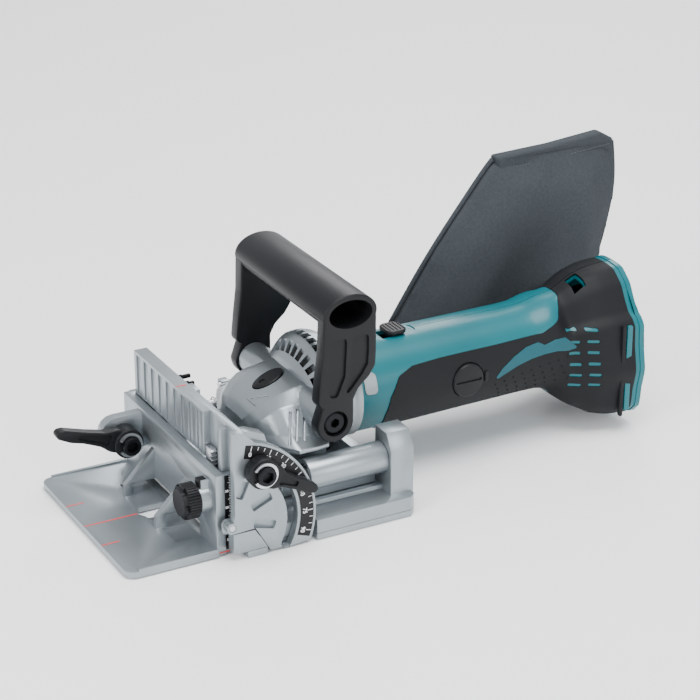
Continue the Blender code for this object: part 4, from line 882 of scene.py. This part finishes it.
dial = plate("height_dial", knurl(knobSpot["teeth"], knobSpot["r"], 9.7), "yz", -13.2, -5.8)
dial = join(dial, rod("dialFace", (-12.8, -48.6, 31.0), (-15.2, -48.6, 31.0), 9.3, 64, 7.9),
            rod("dialFoot", (-6.4, -48.6, 31.0), (-4.9, -48.6, 31.0), 9.0, 64))
scallops = []
for i in range(6):
    y, z = (9.6 * f(math.tau * i / 6) for f in (math.cos, math.sin))
    scallops.append(rod("scallop", (-17, -48.6 + y, 31 + z), (-12.4, -48.6 + y, 31 + z), 2.1, 24))
dial = cut(dial, *scallops)
put(dial, "knob", "black", "height_knob", smooth=28)
block = box("collar_block", (-4.6, -52.5, 39.6), (0.6, -47.0, 43.6))
put(soften(block, 0.5), "fence", "black")


def clampLever(name, body, axis, low, high, tip):
    ax, az = axis
    along = Vector((tip[0] - ax, tip[1] - az))
    length, turn = along.length, Matrix.Rotation(math.atan2(along.y, along.x), 2)
    side = [(4, 7.4), (10, 6.4), (length * 0.36, 4.3), (length * 0.6, 3.3), (length - 10, 3.6),
            (length - 2, 2.4), (length, 0.6), (length - 0.6, -2.2), (length - 4, -3.4), (length * 0.6, -3.7),
            (length * 0.36, -4.4), (10, -6.6), (4, -7.4)]
    outline = rounded([tuple(Vector(axis) + turn @ Vector(p)) for p in side], 2.5, 4)
    inner = [(11.5, 3.4), (length * 0.4, 2.2), (length - 14, 1.3), (length - 14, -1.7), (length * 0.4, -2.6),
             (11.5, -3.8)]
    inner = [tuple(Vector(axis) + turn @ Vector(p)) for p in inner]
    middle = (low + high) / 2
    made = plate(name, circle(ax, az, 8.9, 72), "xz", low, high, bevel=0.6)
    made = join(made, plate("arm", outline, "xz", middle - 3.2, middle + 3.2, bevel=0.8))
    made = cut(made, plate("channel", rounded(inner, 1.0, 3), "xz", middle - 5, middle - 1.9),
               rod("bore", (ax, low - 2, az), (ax, high + 2, az), 3.1, 40))
    put(made, body, "black", name.replace("_smooth", ""), smooth=35)


clampX = px + 36.5 * math.cos(math.radians(64))
clampZ = pz + 36.5 * math.sin(math.radians(64))
clampLever("fence_clamp_lever_smooth", "fence_lever", (-11.9, 33.9), 25.4, 36.1, (-55.0, 48.2))
clampLever("angle_clamp_lever_smooth", "angle_lever", (clampX, clampZ), -79.3, -71.9, (55.5, 35.5))
for node, (x, y, z) in (("fence_clamp_bolt", (-11.9, 20.5, 33.9)), ("angle_clamp_bolt", (clampX, -83.6, clampZ))):
    bolt = soften(copyOf(node, node + "_cut"), 0.4)
    bolt = cut(bolt, rod("hexRoom", (x, y - 3, z), (x, y + 2.6, z), 3.6, 6))
    put(bolt, bodyOf[node], slotOf[node], node)
print("fence and guide detailed")


# dust bag: a slack pillow of cloth, sewn down its edges and folded along the top

bag = {"y": 70.0, "half": 11.5, "voxel": 4.5, "pressure": 4.0, "frames": 20, "cap": 9.0, "thin": 0.28, "piping": 1.5}
bagSide = [(169, 42), (171, 21), (190, 21), (300, 46), (333, 58), (341, 84), (348.5, 118), (345, 148), (334, 153),
           (296, 149.5), (256, 147), (215, 98), (184, 52)]
bagRadius = [4, 6, 8, 20, 14, 20, 14, 4, 4, 30, 4, 60, 10]


def swell(made):
    flat = [v.co.copy() for v in made.data.vertices]
    cloth = made.modifiers.new("swell", "CLOTH")
    cloth.settings.quality = 5
    cloth.settings.use_pressure = True
    cloth.settings.uniform_pressure_force = bag["pressure"]
    cloth.settings.effector_weights.gravity = 0.0
    cloth.point_cache.frame_start, cloth.point_cache.frame_end = 1, bag["frames"]
    for step in range(1, bag["frames"] + 1):
        bpy.context.scene.frame_set(step)
    evaluated = made.evaluated_get(bpy.context.evaluated_depsgraph_get())
    moved = [v.co.copy() for v in evaluated.data.vertices]
    made.modifiers.clear()
    bpy.context.scene.frame_set(1)
    for v, old, new in zip(made.data.vertices, flat, moved):
        step = new - old
        if step.length > bag["cap"] * mm:
            step *= bag["cap"] * mm / step.length
        v.co = old + Vector((step.x * 0.3, step.y, step.z * 0.3))


def crease(where):  # slack folds that hang from the top corners and gather at the neck
    x, z = where.x / mm + spindleX, where.z / mm
    pull = math.sin((x - 0.55 * z) * 0.10 + 1.4 * noise.noise(where * 22)) * 1.3
    dent = -7.5 * math.exp(-(((x - 287) / 34) ** 2 + ((z - 78) / 30) ** 2))
    return pull + 1.6 * noise.noise(where * 30) + dent


bagBase = plate("bag_cloth", rounded(bagSide, bagRadius, 4), "xz", bag["y"] - bag["half"], bag["y"] + bag["half"])
bagBase = join(bagBase, rod("bagNeck", (163.5, 67.0, 32.9), (184.0, 67.0, 35.6), 12.4, 32))
remesh = bagBase.modifiers.new("even", "REMESH")
remesh.mode, remesh.voxel_size, remesh.use_smooth_shade = "VOXEL", bag["voxel"] * mm, True
bagBase = plain(bagBase, "bag_cloth", 0.0005)
swell(bagBase)
for v in bagBase.data.vertices:
    x, z = v.co.x / mm + spindleX, v.co.z / mm
    top = 147 + (x - 256) * 0.03 - (max(0.0, 256 - x)) * 1.33  # the folded edge, then the sewn slope on the left
    near = max(0.0, min(1.0, (top - z) / 62.0))
    rear = max(0.0, min(1.0, (349 - x) / 40.0))
    share = (bag["thin"] + (1 - bag["thin"]) * near ** 0.75) * (0.35 + 0.65 * rear ** 0.6)
    if x < 182:
        share = 1.0
    out = v.co.y / mm - bag["y"]
    if x > 186:
        out += math.copysign(1.0, out) * crease(v.co) * min(1.0, abs(out) / 6.0) * (0.3 + 0.7 * near)
    v.co.y = (bag["y"] + out * share + 0.05 * max(0.0, z - 110) * math.sin(x * 0.035)) * mm
smoothing = bagBase.modifiers.new("finer", "SUBSURF")
smoothing.levels = smoothing.render_levels = 1
bagBase = plain(bagBase, "bag_cloth", 0.0005)
put(bagBase, "base", "cloth", "dust_bag", smooth=180)
print("bag sewn")


def tubeAlong(name, points, radius):
    curve = bpy.data.curves.new(name, "CURVE")
    curve.dimensions, curve.bevel_depth, curve.bevel_resolution, curve.use_fill_caps = "3D", radius * mm, 3, True
    line = curve.splines.new("NURBS")
    line.points.add(len(points) - 1)
    line.use_endpoint_u, line.order_u, line.resolution_u = True, 4, 6
    for point, where in zip(line.points, points):
        point.co = (*at(*where), 1.0)
    made = bpy.data.objects.new(name, curve)
    bpy.context.scene.collection.objects.link(made)
    return plain(made, name, 0.0005)


leftEdge = [(183.6, 52), (199, 76), (215, 99), (235, 123), (252, 144), (256.5, 148.2)]
rightEdge = [(333, 59), (338.5, 75), (341.6, 86), (345.3, 103), (347.8, 118), (346.5, 133), (344.4, 146.5)]
for name, line in (("bag_piping_left", leftEdge), ("bag_piping_right", rightEdge)):
    swayed = [(x, bag["y"] + 0.05 * max(0.0, z - 110) * math.sin(x * 0.035), z) for x, z in line]
    put(tubeAlong(name, swayed, bag["piping"]), "base", "cloth", smooth=180)
foldLine = rounded([(257, 150), (296, 152.2), (333, 155.4), (343, 149.5), (341, 141), (332, 145.2),
                    (296, 141.5), (260, 139)], [1.5, 20, 5, 2, 1.5, 10, 20, 1.5], 4)
fold = plate("bag_top_fold", foldLine, "xz", bag["y"] - 4.4, bag["y"] + 4.4, bevel=1.6)
for v in fold.data.vertices:
    x, z = v.co.x / mm + spindleX, v.co.z / mm
    v.co.y += (0.05 * (z - 110) * math.sin(x * 0.035)) * mm
put(fold, "base", "cloth", smooth=60)
stitches = []
for side in (-1, 1):
    for k in range(38):
        x = 261 + 2.1 * k
        z = 141.6 + (x - 260) * 0.066
        stitches.append((x, bag["y"] + side * 4.42 + 0.05 * (z - 110) * math.sin(x * 0.035), z))
put(bars("bag_stitches", stitches, (1.3, 0.3, 0.3), finishes["thread"]), "base", "cloth", look=finishes["thread"])
print("bag trimmed")


# camera, lights and floor

viewing = {"place": (-0.5244, -1.0681, 0.6120), "back": (-0.43637, -0.80404, 0.40386), "lens": 117.6}
camera = bpy.data.cameras.new("camera")
camera.lens, camera.sensor_width, camera.clip_end = viewing["lens"], 36.0, 20.0
eye = bpy.data.objects.new("camera", camera)
bpy.context.scene.collection.objects.link(eye)
back = Vector(viewing["back"]).normalized()
right = Vector((0, 0, 1)).cross(back).normalized()
eye.matrix_world = Matrix((right, back.cross(right), back)).transposed().to_4x4()
eye.location = viewing["place"]
bpy.context.scene.camera = eye


def softBox(name, place, target, size, power, colour=(1, 1, 1)):
    light = bpy.data.lights.new(name, "AREA")
    light.shape, light.size, light.energy, light.color = "DISK", size, power, colour
    made = bpy.data.objects.new(name, light)
    bpy.context.scene.collection.objects.link(made)
    made.location = place
    made.rotation_euler = (Vector(place) - Vector(target)).to_track_quat("Z", "Y").to_euler()


softBox("overhead", (0.15, -0.25, 1.5), (0.05, 0, 0.05), 1.1, 30)
softBox("leftSide", (-1.5, -0.5, 0.8), (0, 0, 0.05), 0.7, 20)
softBox("nearSide", (0.5, -1.5, 0.6), (0.05, 0, 0.05), 0.9, 8)
softBox("rim", (1.0, 1.3, 1.1), (0.05, 0, 0.08), 0.8, 12)
world = bpy.context.scene.world or bpy.data.worlds.new("world")
bpy.context.scene.world = world
world.use_nodes = True
world.node_tree.nodes["Background"].inputs[0].default_value = (0.94, 0.96, 1.0, 1.0)
world.node_tree.nodes["Background"].inputs[1].default_value = 0.95
floorMesh, floorShape = bpy.data.meshes.new("floor"), bmesh.new()
bmesh.ops.create_grid(floorShape, x_segments=1, y_segments=1, size=6.0)
bmesh.ops.translate(floorShape, vec=(0, 0, -0.0005), verts=floorShape.verts)
floorShape.to_mesh(floorMesh)
floorShape.free()
floor = keep("floor", floorMesh)
floorPaint = Shader("paleFloor", Roughness=0.9)
floorPaint.colour(floorPaint.blend(floorPaint.noise(80.0), (0.93, 0.93, 0.93), (0.95, 0.95, 0.95)))
floorMesh.materials.append(floorPaint.material)

print("finished")
